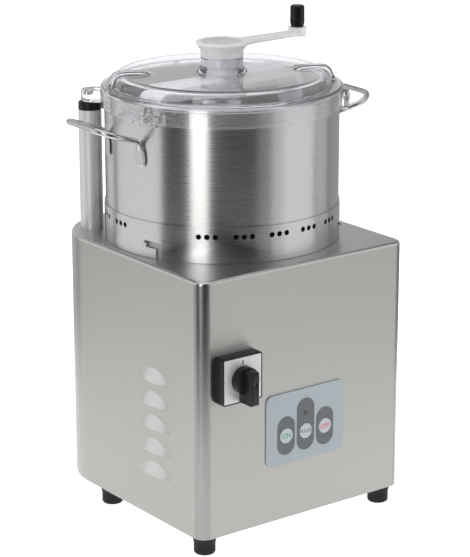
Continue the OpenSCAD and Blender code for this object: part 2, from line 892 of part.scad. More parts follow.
// Bar of the knob, with sloping edges round its front face
module pointer_bar() {
    intersection() {
        front_plate(knob_z, switch_face_y - knob_gap)
            translate([-pointer_w / 2, -pointer_down]) square([pointer_w, pointer_up + pointer_down]);
        rotate([90, 0, 90]) translate([0, 0, -pointer_w / 2]) linear_extrude(height = pointer_w)
            polygon([
                [switch_face_y - knob_gap, -pointer_down], [switch_face_y - knob_gap, pointer_up],
                [knob_z + pointer_chamfer, pointer_up], [knob_z, pointer_up - pointer_chamfer],
                [knob_z, pointer_chamfer - pointer_down], [knob_z + pointer_chamfer, -pointer_down]
            ]);
        translate([0, 0, -pointer_down]) linear_extrude(height = pointer_up + pointer_down)
            polygon([
                [-pointer_w / 2, switch_face_y - knob_gap], [pointer_w / 2, switch_face_y - knob_gap],
                [pointer_w / 2, knob_z + pointer_chamfer / 2], [pointer_w / 2 - pointer_chamfer / 2, knob_z],
                [pointer_chamfer / 2 - pointer_w / 2, knob_z], [-pointer_w / 2, knob_z + pointer_chamfer / 2]
            ]);
    }
}

module switch_shaft() {
    color(satin) at_switch()
        rod_y(switch_shaft_r, knob_z + pointer_out / 2, front_y + sheet + switch_rear_h / 2 - over);
}

module switch_screw() {
    color(satin) at_switch() {
        rod_y(screw_head_r - join_gap, knob_z + screw_head_h / 2, knob_z + screw_head_h);
        rod_y(screw_head_r / 2, knob_z + screw_head_h / 2, knob_z + pointer_out / 2);
    }
}

// Control panel, its raised fields, the lamp and the three buttons
panel_y = front_y - keypad_t;
field_y = panel_y - field_t;
button_gap = 0.3;
button_stem_r = 4;
board_t = 1.6;
board_margin = 8;
contact_h = 3;
board_y = front_y + sheet + contact_h;
contact_r = 3.5;
contact_gap = button_travel + rest_gap;
button_face_out = 0.4;

module button_holes(near, far) {
    for (x = button_x)
        translate([x, 0, button_z]) rod_y(button_d / 2, near, far);
    translate([0, 0, lamp_z]) rod_y(lamp_d / 2 + join_gap, near, far);
}

module keypad_panel() {
    color(panel_grey) at_axis() difference() {
        translate([0, 0, keypad_z]) front_plate(panel_y, front_y)
            rounded_rect(keypad_w, keypad_h, keypad_corner_r);
        button_holes(panel_y - over, front_y + over);
    }
}

module keypad_fields() {
    color(field_grey) at_axis() difference() {
        for (x = button_x) {
            h = x == 0 ? middle_field_h : field_h;
            translate([x, 0, field_low + h / 2]) front_plate(field_y, panel_y) capsule_2d(field_w, h);
        }
        button_holes(field_y - over, panel_y + over);
    }
}

module keypad_board() {
    color(board_green) at_axis() {
        translate([0, 0, keypad_z]) front_plate(board_y, board_y + board_t)
            square([keypad_w - board_margin, keypad_h - board_margin], center = true);
        for (x = button_x)
            translate([x, 0, button_z])
                rod_y(contact_r, front_y + sheet + contact_gap, board_y + board_t / 2);
        for (x = [-1, 1], z = [-1, 1])
            translate([x * (keypad_w / 2 - board_margin), 0, keypad_z + z * (keypad_h / 2 - board_margin)])
                rod_y(contact_r, front_y + sheet, board_y + board_t / 2);
    }
}

module lamp() {
    color([0.9, 0.2, 0.2]) at_axis() translate([0, 0, lamp_z]) {
        rod_y(lamp_d / 2, field_y - button_face_out, board_y);
    }
}

// A button is a shallow cap with a stem that reaches to its contact
module button(x, tint) {
    color(tint) at_axis() translate([x, 0, button_z]) {
        rod_y(button_d / 2 - button_gap, field_y - button_face_out, front_y);
        rod_y(button_stem_r, front_y - over, front_y + sheet);
    }
}

// Control board on spacers on the base plate
power_board_w = 90;
power_board_d = 60;
power_board_y = -70;
spacer_h = 8;
spacer_r = 4;
relay_h = 22;
capacitor_r = 11;
capacitor_h = 34;

module power_board() {
    color(board_green) at_axis() translate([0, power_board_y, plate_top]) {
        translate([0, 0, spacer_h])
            translate([-power_board_w / 2, -power_board_d / 2, 0])
                cube([power_board_w, power_board_d, board_t]);
        for (x = [-1, 1], y = [-1, 1])
            translate([x * (power_board_w / 2 - spacer_r), y * (power_board_d / 2 - spacer_r), 0])
                cylinder(r = spacer_r, h = spacer_h + board_t / 2);
        translate([-power_board_w / 2 + board_margin, -relay_h / 2, spacer_h])
            cube([relay_h, relay_h, relay_h]);
        for (y = [-1, 1])
            translate([power_board_w / 4, y * (capacitor_r + over), spacer_h])
                cylinder(r = capacitor_r, h = capacitor_h);
    }
}

// Cable gland at the back
gland_flange_r = 13;
gland_hex_h = 6;
gland_nut_r = 12;
gland_nose_r = 9;
gland_inner_h = 9;
gland_neck_r = 11;
gland_neck_h = 2;

module at_gland() {
    at_axis() translate([gland_offset, 0, gland_z]) children();
}

module cable_gland() {
    color(black) at_gland() difference() {
        union() {
            rod_y(gland_thread_r, back_y - sheet - gland_inner_h, back_y + over);
            translate([0, back_y, 0]) rotate([-90, 0, 0]) {
                cylinder(r = gland_flange_r, h = gland_hex_h, $fn = 6);
                cylinder(r = gland_neck_r, h = gland_out / 2);
                translate([0, 0, gland_hex_h + gland_neck_h])
                    cylinder(r = gland_nut_r, h = gland_out / 2 - gland_hex_h, $fn = 6);
                translate([0, 0, gland_out / 2])
                    cylinder(r1 = gland_neck_r, r2 = gland_nose_r, h = gland_out / 2);
            }
        }
        rod_y(gland_bore_d / 2, back_y - sheet - gland_inner_h - over, back_y + gland_out + over);
    }
}

module gland_nut() {
    color(black) at_gland() difference() {
        translate([0, back_y - sheet, 0]) rotate([90, 0, 0])
            cylinder(r = gland_flange_r, h = gland_hex_h, $fn = 6);
        rod_y(gland_thread_r + join_gap, back_y - sheet - gland_hex_h - over, back_y);
    }
}

// Bowl
bowl_out_z = floor_z - bowl_wall;
bead_z = rim_z - rim_bead_r;

module bowl() {
    color(steel) at_axis() rotate_extrude() {
        difference() {
            union() {
                translate([0, bowl_out_z]) square([bowl_r - bowl_corner_r, bowl_corner_r]);
                translate([0, bowl_out_z + bowl_corner_r])
                    square([bowl_r, bead_z - bowl_out_z - bowl_corner_r]);
                translate([bowl_r - bowl_corner_r, bowl_out_z + bowl_corner_r]) circle(r = bowl_corner_r);
            }
            translate([0, floor_z]) square([bowl_r - bowl_corner_r, bowl_corner_r]);
            translate([0, bowl_out_z + bowl_corner_r]) square([bowl_in_r, bowl_depth]);
            translate([bowl_r - bowl_corner_r, bowl_out_z + bowl_corner_r])
                circle(r = bowl_corner_r - bowl_wall);
            translate([0, bowl_out_z - over]) square([sleeve_r, bowl_wall + 2 * over]);
        }
        translate([bead_orbit, bead_z]) circle(r = rim_bead_r);
    }
}

// Skirt with five groups of three holes in each third, and an angled slot for each locking pin
holes_per_group = 3;
hole_step = 3.9;
groups_per_third = 5;
group_step = 17.5;
first_group_turn = 31.3;
first_group_angle = pin_angle + first_group_turn;
skirt_low_z = housing_top + rest_gap;
slot_run = PI * bowl_r * lock_turn / 180;
slot_drop_share = 0.7;
slot_depth = 3 * skirt_wall + over;

module skirt_slot() {
    turned = pin_angle + lock_turn;
    drop = slot_climb * slot_drop_share;
    rotate([0, 0, pin_angle]) translate([bowl_in_r, 0, pin_z + slot_climb - drop])
        rotate([0, 90, 0]) cylinder(r = slot_end_r, h = slot_depth);
    rotate([0, 0, pin_angle + lock_turn / 2]) translate([bowl_in_r, 0, pin_z + slot_climb / 2 - drop])
        rotate([-atan(slot_climb / slot_run), 0, 0])
            translate([0, -slot_run / 2, -slot_w / 2]) cube([slot_depth, slot_run, slot_w]);
    rotate([0, 0, turned]) translate([bowl_in_r, 0, pin_z - drop]) {
        rotate([0, 90, 0]) cylinder(d = slot_w, h = slot_depth);
        translate([0, -slot_w / 2, -2 * pin_rise]) cube([slot_depth, slot_w, 2 * pin_rise]);
    }
}

module bowl_skirt() {
    color(steel) at_axis() difference() {
        tube(skirt_out_r, bowl_r, skirt_low_z, skirt_top);
        for (turn = [0 : 2]) rotate([0, 0, turn * third]) {
            skirt_slot();
            for (group = [0 : groups_per_third - 1], i = [0 : holes_per_group - 1])
                rotate([0, 0, first_group_angle + group * group_step + (i - 1) * hole_step])
                    translate([bowl_in_r, 0, housing_top + skirt_hole_rise])
                        rotate([0, 90, 0]) cylinder(d = skirt_hole_d, h = slot_depth);
        }
    }
}

module bowl_sleeve() {
    color(steel) at_axis() {
        tube(sleeve_r, sleeve_r - sleeve_wall, bowl_out_z, floor_z + sleeve_h);
    }
}

// Handle: one rod bent in a leaning plane, both ends flattened onto the wall of the bowl
handle_corner_u = handle_reach - handle_corner_r;
handle_corner_v = handle_half_w - handle_corner_r;
handle_leg_dv = handle_corner_v - handle_foot_half;
handle_leg_span = sqrt(handle_corner_u ^ 2 + handle_leg_dv ^ 2);
handle_leg_dir = atan2(handle_leg_dv, handle_corner_u) + asin(handle_corner_r / handle_leg_span);
handle_leg_len = sqrt(handle_leg_span ^ 2 - handle_corner_r ^ 2);
handle_z = floor_z + handle_rise;
root_ball_share = 0.58;
root_ball_r = rod_d * root_ball_share;
handle_root_r = sqrt((bowl_r + root_ball_r) ^ 2 - handle_foot_half ^ 2);

// The straight runs are a hair thinner than the bends and end inside them
run_d = rod_d - 2 * join_gap;

module handle_half() {
    translate([0, handle_foot_half, 0]) rotate([0, 0, handle_leg_dir]) rotate([0, 90, 0])
        cylinder(d = run_d, h = handle_leg_len + over);
    translate([handle_corner_u, handle_corner_v, 0])
        rotate_extrude(angle = 90 + handle_leg_dir) translate([handle_corner_r, 0]) circle(d = rod_d);
}

module handle_loop() {
    handle_half();
    mirror([0, 1, 0]) handle_half();
    translate([handle_reach, -handle_corner_v - over, 0]) rotate([-90, 0, 0])
        cylinder(d = run_d, h = 2 * (handle_corner_v + over));
}

module handle_pad(side) {
    root_angle = asin(handle_foot_half / (bowl_r + root_ball_r));
    pad_top = handle_z - rod_d;
    rotate([0, 0, side * root_angle]) {
        intersection() {
            tube(bowl_r + pad_t, bowl_r, pad_top - pad_h, pad_top);
            translate([bowl_in_r, -pad_w / 2, pad_top - pad_h]) cube([2 * pad_t, pad_w, pad_h]);
        }
        hull() {
            translate([bowl_r + root_ball_r, 0, handle_z]) sphere(r = root_ball_r, $fn = fine_fn);
            translate([bowl_r + join_gap, -pad_w / 2 + pad_t / 2, pad_top - pad_t])
                cube([pad_t - 2 * join_gap, pad_w - pad_t, pad_t / 2]);
        }
    }
}

module handle(angle) {
    color(steel) at_axis() rotate([0, 0, angle]) {
        translate([handle_root_r, 0, handle_z]) rotate([0, -handle_tilt, 0]) handle_loop();
        for (side = [-1, 1]) handle_pad(side);
    }
}

// Lid
lid_in_crown_r = crown_r - lid_t;
crown_under_z = crown_z - lid_t;
arc_steps = 8;
rib_depth = 2;
rib_inner_share = 0.47;
rib_drop = 14;
lug_cell_wall = 2;
lug_rib_w = 9;
lug_cell_depth = 4.5;
lug_cell_w = (lug_w - lug_rib_w) / 2 - lug_cell_wall;
lid_screw_r = 1.8;
lid_screw_head_r = 2.8;
lid_screw_h = 7;
lug_screw_orbit = lid_out_r + lug_out - lug_cell_wall - lid_screw_r / 2;
lug_top_z = lug_z + lug_h;
long_lug_w = 26;
magnet_r = 5;
magnet_h = 5;

// Space below the raised middle
module lid_cavity() {
    polygon(concat(
        [[0, lid_seat_z], [lid_in_crown_r, lid_seat_z]],
        arc([crown_r - lid_crown_r, crown_z - lid_crown_r], lid_crown_r - lid_t, 0, 90, arc_steps),
        [[0, crown_under_z]]
    ));
    translate([0, lid_low_z - over]) square([lid_in_r, lid_seat_z - lid_low_z + over]);
}

module lid_section() {
    difference() {
        union() {
            polygon(concat(
                [[lid_in_r, lid_low_z], [lid_out_r, lid_low_z]],
                arc([lid_out_r - lid_edge_r, flange_z - lid_edge_r], lid_edge_r, 0, 90, arc_steps),
                [[crown_r, flange_z]],
                arc([crown_r - lid_crown_r, crown_z - lid_crown_r], lid_crown_r, 0, 90, arc_steps),
                [[neck_r + root_t, crown_z], [neck_in_r, crown_z], [neck_in_r, lid_low_z]]
            ));
            translate([neck_in_r, crown_z - lid_t]) square([neck_wall, neck_h + lid_t]);
            translate([neck_in_r, crown_z - lid_t])
                square([neck_wall + root_t, root_h + lid_t - root_t / 2]);
            translate([neck_r + root_t / 2, crown_z + root_h - root_t / 2]) circle(r = root_t / 2);
        }
        lid_cavity();
    }
}

// Grip bump: the length, width and plan of one rounded form, drawn in by a wall for its hollow side
module bump_form(inset) {
    top = crown_z + bump_h - inset;
    half_w = bump_w / 2 - inset;
    inner = crown_r - bump_len + inset;
    outer = crown_r + lid_flange_w / 2 - inset;
    low = flange_z - lid_t;
    intersection() {
        rotate([90, 0, 0]) translate([0, 0, -bump_w]) linear_extrude(height = 2 * bump_w)
            polygon([
                [inner, low], [inner, top - bump_h], [inner + 2 * bump_h, top],
                [crown_r - lid_crown_r, top], [crown_r - inset, top - lid_crown_r / 2], [outer, low]
            ]);
        rotate([90, 0, 90]) linear_extrude(height = lid_out_r) {
            translate([-half_w, low]) square([2 * half_w, top - low - half_w / 2]);
            translate([-half_w / 2, low]) square([half_w, top - low]);
            for (side = [-1, 1])
                translate([side * half_w / 2, top - half_w / 2]) circle(r = half_w / 2);
        }
        translate([0, 0, low]) linear_extrude(height = top - low + over) {
            translate([inner + half_w, 0]) circle(r = half_w);
            translate([inner + half_w, -half_w]) square([outer - inner, 2 * half_w]);
        }
    }
}

module lid_lug() {
    difference() {
        intersection() {
            tube(lid_out_r + lug_out, lid_out_r - lid_skirt_wall / 2, lug_z, lug_top_z);
            translate([0, -lug_w / 2, lug_z]) cube([2 * lid_out_r, lug_w, lug_h]);
        }
        for (side = [-1, 1])
            translate([
                lid_out_r + lug_out - lug_cell_depth,
                side * (lug_rib_w + lug_cell_w) / 2 - lug_cell_w / 2,
                lug_z + lug_cell_wall
            ])
                cube([
                    lug_cell_depth + over,
                    lug_cell_w,
                    lug_h - 2 * lug_cell_wall
                ]);
        translate([lug_screw_orbit, 0, lug_z + lug_cell_wall]) cylinder(r = lid_screw_r, h = lug_h);
    }
}

// Long lug that reaches over the post and holds the magnet for its sensor
module long_lug() {
    difference() {
        union() {
            intersection() {
                disc(post_orbit, lug_z, lug_top_z);
                translate([0, -long_lug_w / 2, lug_z]) cube([post_orbit, long_lug_w, lug_h]);
            }
            translate([post_orbit - long_lug_w / 2 + long_lug_past, 0, lug_z])
                cylinder(d = long_lug_w, h = lug_h);
        }
        translate([0, 0, lug_z - over]) cylinder(r = lid_out_r - lid_skirt_wall / 2, h = lug_h + 2 * over);
        translate([post_orbit, 0, lug_top_z - magnet_h]) cylinder(r = magnet_r, h = magnet_h + over);
    }
}

module lid() {
    color(clear) at_axis() {
        difference() {
            union() {
                rotate_extrude() lid_section();
                difference() {
                    for (turn = [0, 180]) rotate([0, 0, bump_angle + turn]) bump_form(0);
                    rotate_extrude() lid_cavity();
                }
                for (i = [0 : 2]) rotate([0, 0, lug_angle + i * third]) lid_lug();
                rotate([0, 0, post_angle]) long_lug();
            }
            for (turn = [0, 180]) rotate([0, 0, bump_angle + turn]) bump_form(lid_t);
        }
        rotate([0, 0, rib_angle]) {
            translate([rib_inner_share * crown_r, -rib_t / 2, crown_under_z - rib_depth])
                cube([crown_r - lid_crown_r - rib_inner_share * crown_r, rib_t, rib_depth + lid_t / 2]);
            translate([lid_in_crown_r - rib_depth, -rib_t / 2, crown_under_z - rib_drop])
                cube([rib_depth + lid_t / 2, rib_t, rib_drop - lid_crown_r / 2]);
        }
    }
}

module lid_screw(angle) {
    color(satin) at_axis() rotate([0, 0, angle]) translate([lug_screw_orbit, 0, 0]) {
        disc(lid_screw_r - join_gap, lug_z + lug_cell_wall, lug_top_z + lid_screw_h);
        disc(lid_screw_head_r, lug_top_z + lid_screw_h / 2, lug_top_z + lid_screw_h);
    }
}

module lid_magnet() {
    color(satin) at_axis() at_post()
        disc(magnet_r - join_gap, lug_top_z - magnet_h, lug_top_z);
}

// Crank: feed cup, tube, arm and boss in one moulding
tube_in_r = tube_r - tube_wall;
journal_share = 0.6;
journal_h = neck_h * journal_share;
journal_r = neck_in_r - rest_gap;
cup_collar_share = 0.42;
cup_collar_h = cup_h * cup_collar_share;
cup_brim = 0.5;
cup_root_r = neck_r + cup_brim;
tube_below_lid = 17;
tube_low_z = crown_under_z - tube_below_lid;
window_low = 2;
window_h = 30;
window_start = -80;
window_turn = 53;
arm_z = cup_z - cup_lip / 2 - arm_t;
boss_top_z = arm_z + boss_h;
knob_z0 = boss_top_z + rest_gap;

module cup_section() {
    difference() {
        polygon([
            [0, tube_low_z], [tube_r, tube_low_z],
            [tube_r, neck_z - journal_h], [journal_r, neck_z - journal_h], [journal_r, cup_seat_z],
            [cup_root_r, cup_seat_z], [cup_root_r, cup_seat_z + cup_collar_h],
            [cup_r - cup_lip / 2, cup_z - cup_lip], [cup_r, cup_z - cup_lip], [cup_r, cup_z], [0, cup_z]
        ]);
        polygon([
            [0, tube_low_z - over], [tube_in_r, tube_low_z - over], [tube_in_r, cup_seat_z],
            [mouth_r, cup_z - cup_lip], [mouth_r, cup_z + over], [0, cup_z + over]
        ]);
    }
}

module at_knob() {
    rotate([0, 0, crank_angle]) translate([crank_arm, 0, 0]) children();
}

module crank_cup() {
    color(white) at_axis() difference() {
        union() {
            rotate_extrude() cup_section();
            rotate([0, 0, crank_angle]) difference() {
                translate([0, 0, arm_z]) linear_extrude(height = arm_t)
                    polygon([
                        [0, -arm_root_w / 2], [crank_arm, -arm_tip_w / 2],
                        [crank_arm, arm_tip_w / 2], [0, arm_root_w / 2]
                    ]);
                disc(cup_root_r, arm_z - over, arm_z + arm_t + over);
            }
            at_knob() disc(boss_d / 2, arm_z, boss_top_z);
        }
        at_knob() disc(knob_pin_d / 2, arm_z - over, boss_top_z + over);
        rotate([0, 0, window_start]) translate([0, 0, tube_low_z + window_low]) intersection() {
            rotate_extrude(angle = window_turn) square([tube_r + over, window_h]);
            cylinder(r = tube_r + over, h = window_h);
        }
    }
}

// Knob on its pin: an eight-sided grip with sloping shoulders
knob_pin_head_h = 3;
knob_pin_top_z = knob_z0 + knob_h - knob_pin_head_h;
knob_shoulder_h = 3;
knob_sides = 8;

module knob_pin() {
    color(satin) at_axis() at_knob() {
        disc(knob_pin_d / 2 - join_gap, arm_z, boss_top_z);
        disc(knob_pin_d / 2 - run_gap, boss_top_z, knob_pin_top_z - knob_shoulder_h);
    }
}

module crank_knob() {
    color(black) at_axis() at_knob() difference() {
        union() {
            disc(knob_d / 2 - over, knob_z0, knob_z0 + knob_shoulder_h);
            translate([0, 0, knob_z0 + knob_shoulder_h / 2]) intersection() {
                cylinder(
                    d = knob_d / cos(180 / knob_sides), h = knob_h - knob_shoulder_h / 2,
                    $fn = knob_sides
                );
                cylinder(
                    r1 = knob_d / 2 + knob_h, r2 = knob_d / 2 - knob_shoulder_h / 2,
                    h = knob_h - knob_shoulder_h / 2
                );
            }
        }
        disc(knob_pin_d / 2, knob_z0 - over, knob_pin_top_z - knob_shoulder_h + rest_gap);
    }
}

// Scraper: a hub on the tube of the crank and two bent arms with paddles along the wall
scraper_lid_gap = 3;
scraper_top_z = crown_under_z - scraper_lid_gap;
scraper_hub_z = crown_under_z - rest_gap - scraper_hub_h;
paddle_r = bowl_in_r - paddle_gap;
upright = 90;
bend_a = upright - paddle_lean;
paddle_low_z = scraper_top_z - paddle_drop;
bend_z = scraper_top_z - scraper_bend_r;
bend_end_z = bend_z + scraper_bend_r * cos(bend_a);
paddle_run = (bend_end_z - paddle_low_z) * tan(paddle_lean);
paddle_flat_gap = 2.5;
bend_x = paddle_r - paddle_run - scraper_bend_r * sin(bend_a) - paddle_flat_gap;

// Side view of an arm and its paddle, drawn in from its outer face
function scraper_line(inset) = concat(
    arc([bend_x, bend_z], scraper_bend_r - inset, upright, paddle_lean, arc_steps),
    [[bend_x + (scraper_bend_r - inset) * sin(bend_a) + paddle_run, paddle_low_z]]
);

module scraper_side(inset, depth_top, depth_low) {
    line = scraper_line(inset);
    last = line[len(line) - 1];
    polygon(concat(
        [[0, scraper_top_z - inset]], line,
        [
            [last[0] - depth_low, paddle_low_z],
            [bend_x + scraper_bend_r * sin(bend_a) - depth_top, bend_z],
            [bend_x, scraper_top_z - depth_top], [0, scraper_top_z - depth_top]
        ]
    ));
}

module scraper_strip(inset, from, width) {
    translate([0, from + width, 0]) rotate([90, 0, 0]) linear_extrude(height = width)
        scraper_side(inset, scraper_flange_h, scraper_t + scraper_flange_h / 4);
}

module scraper_arm() {
    intersection() {
        difference() {
            scraper_strip(0, -scraper_back_w, scraper_w);
            translate([0, scraper_t - scraper_back_w + scraper_w - 2 * scraper_t, 0])
                rotate([90, 0, 0]) linear_extrude(height = scraper_w - 2 * scraper_t)
                    scraper_side(scraper_t, 2 * scraper_flange_h, 2 * scraper_flange_h);
        }
        disc(paddle_r, paddle_low_z, scraper_top_z);
    }
}

module scraper() {
    color(white) at_axis() difference() {
        union() {
            disc(tube_r + join_gap + scraper_hub_wall, scraper_hub_z, scraper_hub_z + scraper_hub_h);
            for (turn = [0, 180]) rotate([0, 0, crank_angle + turn]) scraper_arm();
        }
        disc(tube_r + join_gap, scraper_hub_z - over, scraper_hub_z + scraper_hub_h + over);
    }
}

// Rotor: shaft, hub, two blades, disc and nut
hub_floor_gap = 4;
hub_low_z = floor_z + hub_floor_gap;
nut_scraper_gap = 3;
hub_top_z = scraper_hub_z - nut_scraper_gap - nut_r - disc_t;
sleeve_top_gap = 2;
hub_bore_z = floor_z + sleeve_h + sleeve_top_gap;
blade_low_z = floor_z + blade_rise;
blade_up_z = blade_low_z + blade_spacing;
stud_r = 4;

module motor_shaft() {
    color(satin) at_axis() {
        disc(shaft_d / 2, fan_z - over, hub_top_z);
        disc(stud_r, hub_top_z - over, hub_top_z + disc_t + nut_r / 2);
    }
}

module blade_hub() {
    color(white) at_axis() difference() {
        disc(hub_r, hub_low_z, hub_top_z);
        disc(sleeve_r + 2 * rest_gap, hub_low_z - over, hub_bore_z);
        disc(shaft_d / 2 + join_gap, hub_bore_z - over, hub_top_z + over);
        for (low = [blade_low_z, blade_up_z])
            tube(hub_r + over, hub_r - blade_t / 2, low, low + blade_t);
    }
}

// Sickle blade: each wing is an arc from the hub to the tip circle that narrows outwards,
// ground along its outer edge
blade_sag_share = 0.3;
blade_taper_share = 0.25;
blade_bevel_share = 2.5;
blade_ring_wall = 4;
blade_sag = blade_reach * blade_sag_share;
blade_arc_r = sqrt((blade_reach / 2) ^ 2 + blade_sag ^ 2);

module blade_wing() {
    intersection() {
        translate([blade_reach / 2, -blade_sag, 0]) cylinder(
            r1 = blade_arc_r + blade_w / 2, r2 = blade_arc_r + blade_w / 2 - blade_t * blade_bevel_share,
            h = blade_t
        );
        linear_extrude(height = blade_t) difference() {
            intersection() {
                circle(r = blade_reach);
                translate([-blade_w, 0]) square([blade_reach + blade_w, blade_reach]);
            }
            translate([blade_reach / 2 + blade_w * blade_taper_share, -blade_sag])
                circle(r = blade_arc_r - blade_w / 2);
        }
    }
}

module blade(low, turn) {
    color(satin) at_axis() rotate([0, 0, turn]) translate([0, 0, low]) difference() {
        union() {
            cylinder(r = hub_r + blade_ring_wall, h = blade_t);
            for (side = [0, 180]) rotate([0, 0, side]) blade_wing();
        }
        translate([0, 0, -over]) cylinder(r = hub_r - blade_t / 2 + join_gap, h = blade_t + 2 * over);
    }
}

module hub_disc() {
    color(white) at_axis() tube(disc_r, stud_r + join_gap, hub_top_z, hub_top_z + disc_t);
}

module hub_nut() {
    color(satin) at_axis() difference() {
        translate([0, 0, hub_top_z + disc_t]) intersection() {
            sphere(r = nut_r);
            cylinder(r = nut_r, h = nut_r);
        }
        disc(stud_r + join_gap, hub_top_z + disc_t - over, hub_top_z + disc_t + nut_r / 2 + join_gap);
    }
}

housing();
base_plate();
at_axis() translate([-foot_x, foot_front_y, 0]) foot();  // foot_front_left
at_axis() translate([foot_x, foot_front_y, 0]) foot();  // foot_front_right
at_axis() translate([-foot_x, foot_rear_y, 0]) foot();  // foot_rear_left
at_axis() translate([foot_x, foot_rear_y, 0]) foot();  // foot_rear_right
foot_screws();
motor_flange();
motor_can();
motor_endcap();
motor_bearing();
shaft_seal();
flange_screws();
bowl_collar();
collar_pin(pin_angle);  // collar_pin_left
collar_pin(pin_angle + third);  // collar_pin_front
collar_pin(pin_angle - third);  // collar_pin_rear
post_tube();
post_cap();
post_sensor();
post_nut();
switch_block();
switch_bezel();
switch_knob();
switch_shaft();
switch_screw();
keypad_panel();
keypad_fields();
keypad_board();
lamp();
button(button_x[0], "seagreen");  // button_on
button(button_x[1], pulse_grey);  // button_pulse
button(button_x[2], "firebrick");  // button_off
power_board();
cable_gland();
gland_nut();
motor_shaft();
motor_armature();
cooling_fan();
blade_hub();
blade(blade_low_z, 0);  // blade_lower
blade(blade_up_z, 90);  // blade_upper
hub_disc();
hub_nut();
bowl();
bowl_skirt();
bowl_sleeve();
handle(handle_angle);  // handle_left
handle(handle_angle + 180);  // handle_right
lid();
lid_screw(lug_angle);  // lid_screw_left
lid_screw(lug_angle + third);  // lid_screw_front
lid_screw(lug_angle - third);  // lid_screw_rear
lid_magnet();
crank_cup();
knob_pin();
crank_knob();
scraper();
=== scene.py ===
"""Looks of a bench-top food cutter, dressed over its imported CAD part.

Shapes are drawn in millimetres about the bowl axis and scaled to metres when a piece is made.
"""

import json
import math

import bmesh
import bpy
from mathutils import Matrix, Vector

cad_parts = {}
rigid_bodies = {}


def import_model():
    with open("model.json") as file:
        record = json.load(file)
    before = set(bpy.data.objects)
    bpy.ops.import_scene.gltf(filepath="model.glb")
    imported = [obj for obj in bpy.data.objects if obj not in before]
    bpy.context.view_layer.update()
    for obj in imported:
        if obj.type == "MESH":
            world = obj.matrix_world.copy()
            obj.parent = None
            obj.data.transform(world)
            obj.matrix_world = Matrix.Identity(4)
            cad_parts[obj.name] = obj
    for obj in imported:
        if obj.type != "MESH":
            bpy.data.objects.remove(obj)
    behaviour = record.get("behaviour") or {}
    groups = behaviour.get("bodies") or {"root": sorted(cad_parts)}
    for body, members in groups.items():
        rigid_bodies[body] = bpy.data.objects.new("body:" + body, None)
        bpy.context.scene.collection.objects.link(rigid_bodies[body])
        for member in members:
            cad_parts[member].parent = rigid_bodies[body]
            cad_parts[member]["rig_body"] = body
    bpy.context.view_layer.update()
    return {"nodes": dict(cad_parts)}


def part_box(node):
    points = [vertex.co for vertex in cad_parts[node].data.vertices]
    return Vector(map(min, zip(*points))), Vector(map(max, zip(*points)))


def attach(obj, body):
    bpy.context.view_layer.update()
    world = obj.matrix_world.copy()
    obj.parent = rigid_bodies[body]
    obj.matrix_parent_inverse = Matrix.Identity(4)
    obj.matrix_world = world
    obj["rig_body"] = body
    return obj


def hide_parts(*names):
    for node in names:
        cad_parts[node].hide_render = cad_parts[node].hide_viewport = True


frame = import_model()

MM = 0.001
WELD = 0.004
BOWL_LOW, BOWL_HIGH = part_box("bowl")
AXIS = Vector(((BOWL_LOW.x + BOWL_HIGH.x) / 2, (BOWL_LOW.y + BOWL_HIGH.y) / 2, 0))


# Camera, lights and floor

CAMERA_AT = (-1.3038, -1.75455, 0.8921)
CAMERA_TO = (-0.607172, -0.826312, 0.544958)
CAMERA_LENS = 140.9

# Upright softboxes: azimuth seen from the object, distance, width, lower and upper edge, radiance
SOFTBOXES = {
    "left_strip": (-58, 2.5, 0.74, -0.35, 2.6, 3.0),
    "left_wall": (-128, 2.5, 3.1, -1.6, 2.6, 0.86),
    "right_edge": (4, 2.5, 0.55, -1.6, 2.6, 0.20),
    "right_step": (18, 2.5, 0.60, -1.6, 2.6, 0.62),
    "right_wall": (44, 2.5, 1.75, -1.6, 2.6, 0.90),
    "right_fill": (76, 2.5, 0.95, -1.6, 2.6, 0.58),
    "right_far": (112, 2.5, 2.0, -1.6, 2.6, 0.36),
    "back_wall": (165, 3.0, 3.4, -1.6, 2.6, 0.70),
}
SKY_HEIGHT, SKY_SIZE, SKY_RADIANCE = 4.5, 6.0, 1.15
# The room round the softboxes, as what it adds to the light and as what the camera sees
ROOM_GREY, BACKDROP_GREY = 0.02, 1.0
FLOOR_COLOUR = (0.86, 0.86, 0.86)
FLOOR_GLOW = 0.85
# The steel mirrors the paper that the object stands on, and beyond it only the softboxes
PAPER_R, FLOOR_R, FLOOR_SIDES = 0.62, 9.0, 96


def turns(count):
    """Evenly spread angles of one full turn."""
    return [math.tau * i / count for i in range(count)]


def look_at(thing, spot, target):
    """Puts a camera or a lamp at a spot and turns it towards a target."""
    thing.location = spot
    aim = Vector(target) - Vector(spot)
    thing.rotation_mode = "QUATERNION"
    thing.rotation_quaternion = aim.to_track_quat("-Z", "Y")


def make_camera():
    """The camera at the photograph's viewing angle."""
    data = bpy.data.cameras.new("camera")
    data.lens = CAMERA_LENS
    camera = bpy.data.objects.new("camera", data)
    bpy.context.scene.collection.objects.link(camera)
    look_at(camera, CAMERA_AT, CAMERA_TO)
    bpy.context.scene.camera = camera


def make_softbox(name, spot, target, width, height, radiance):
    """A lamp of an even radiance that the camera doesn't see."""
    data = bpy.data.lights.new(name, "AREA")
    data.shape = "RECTANGLE"
    data.size, data.size_y = width, height
    data.energy = radiance * math.pi * width * height
    lamp = bpy.data.objects.new(name, data)
    lamp.visible_camera = False
    bpy.context.scene.collection.objects.link(lamp)
    look_at(lamp, spot, target)


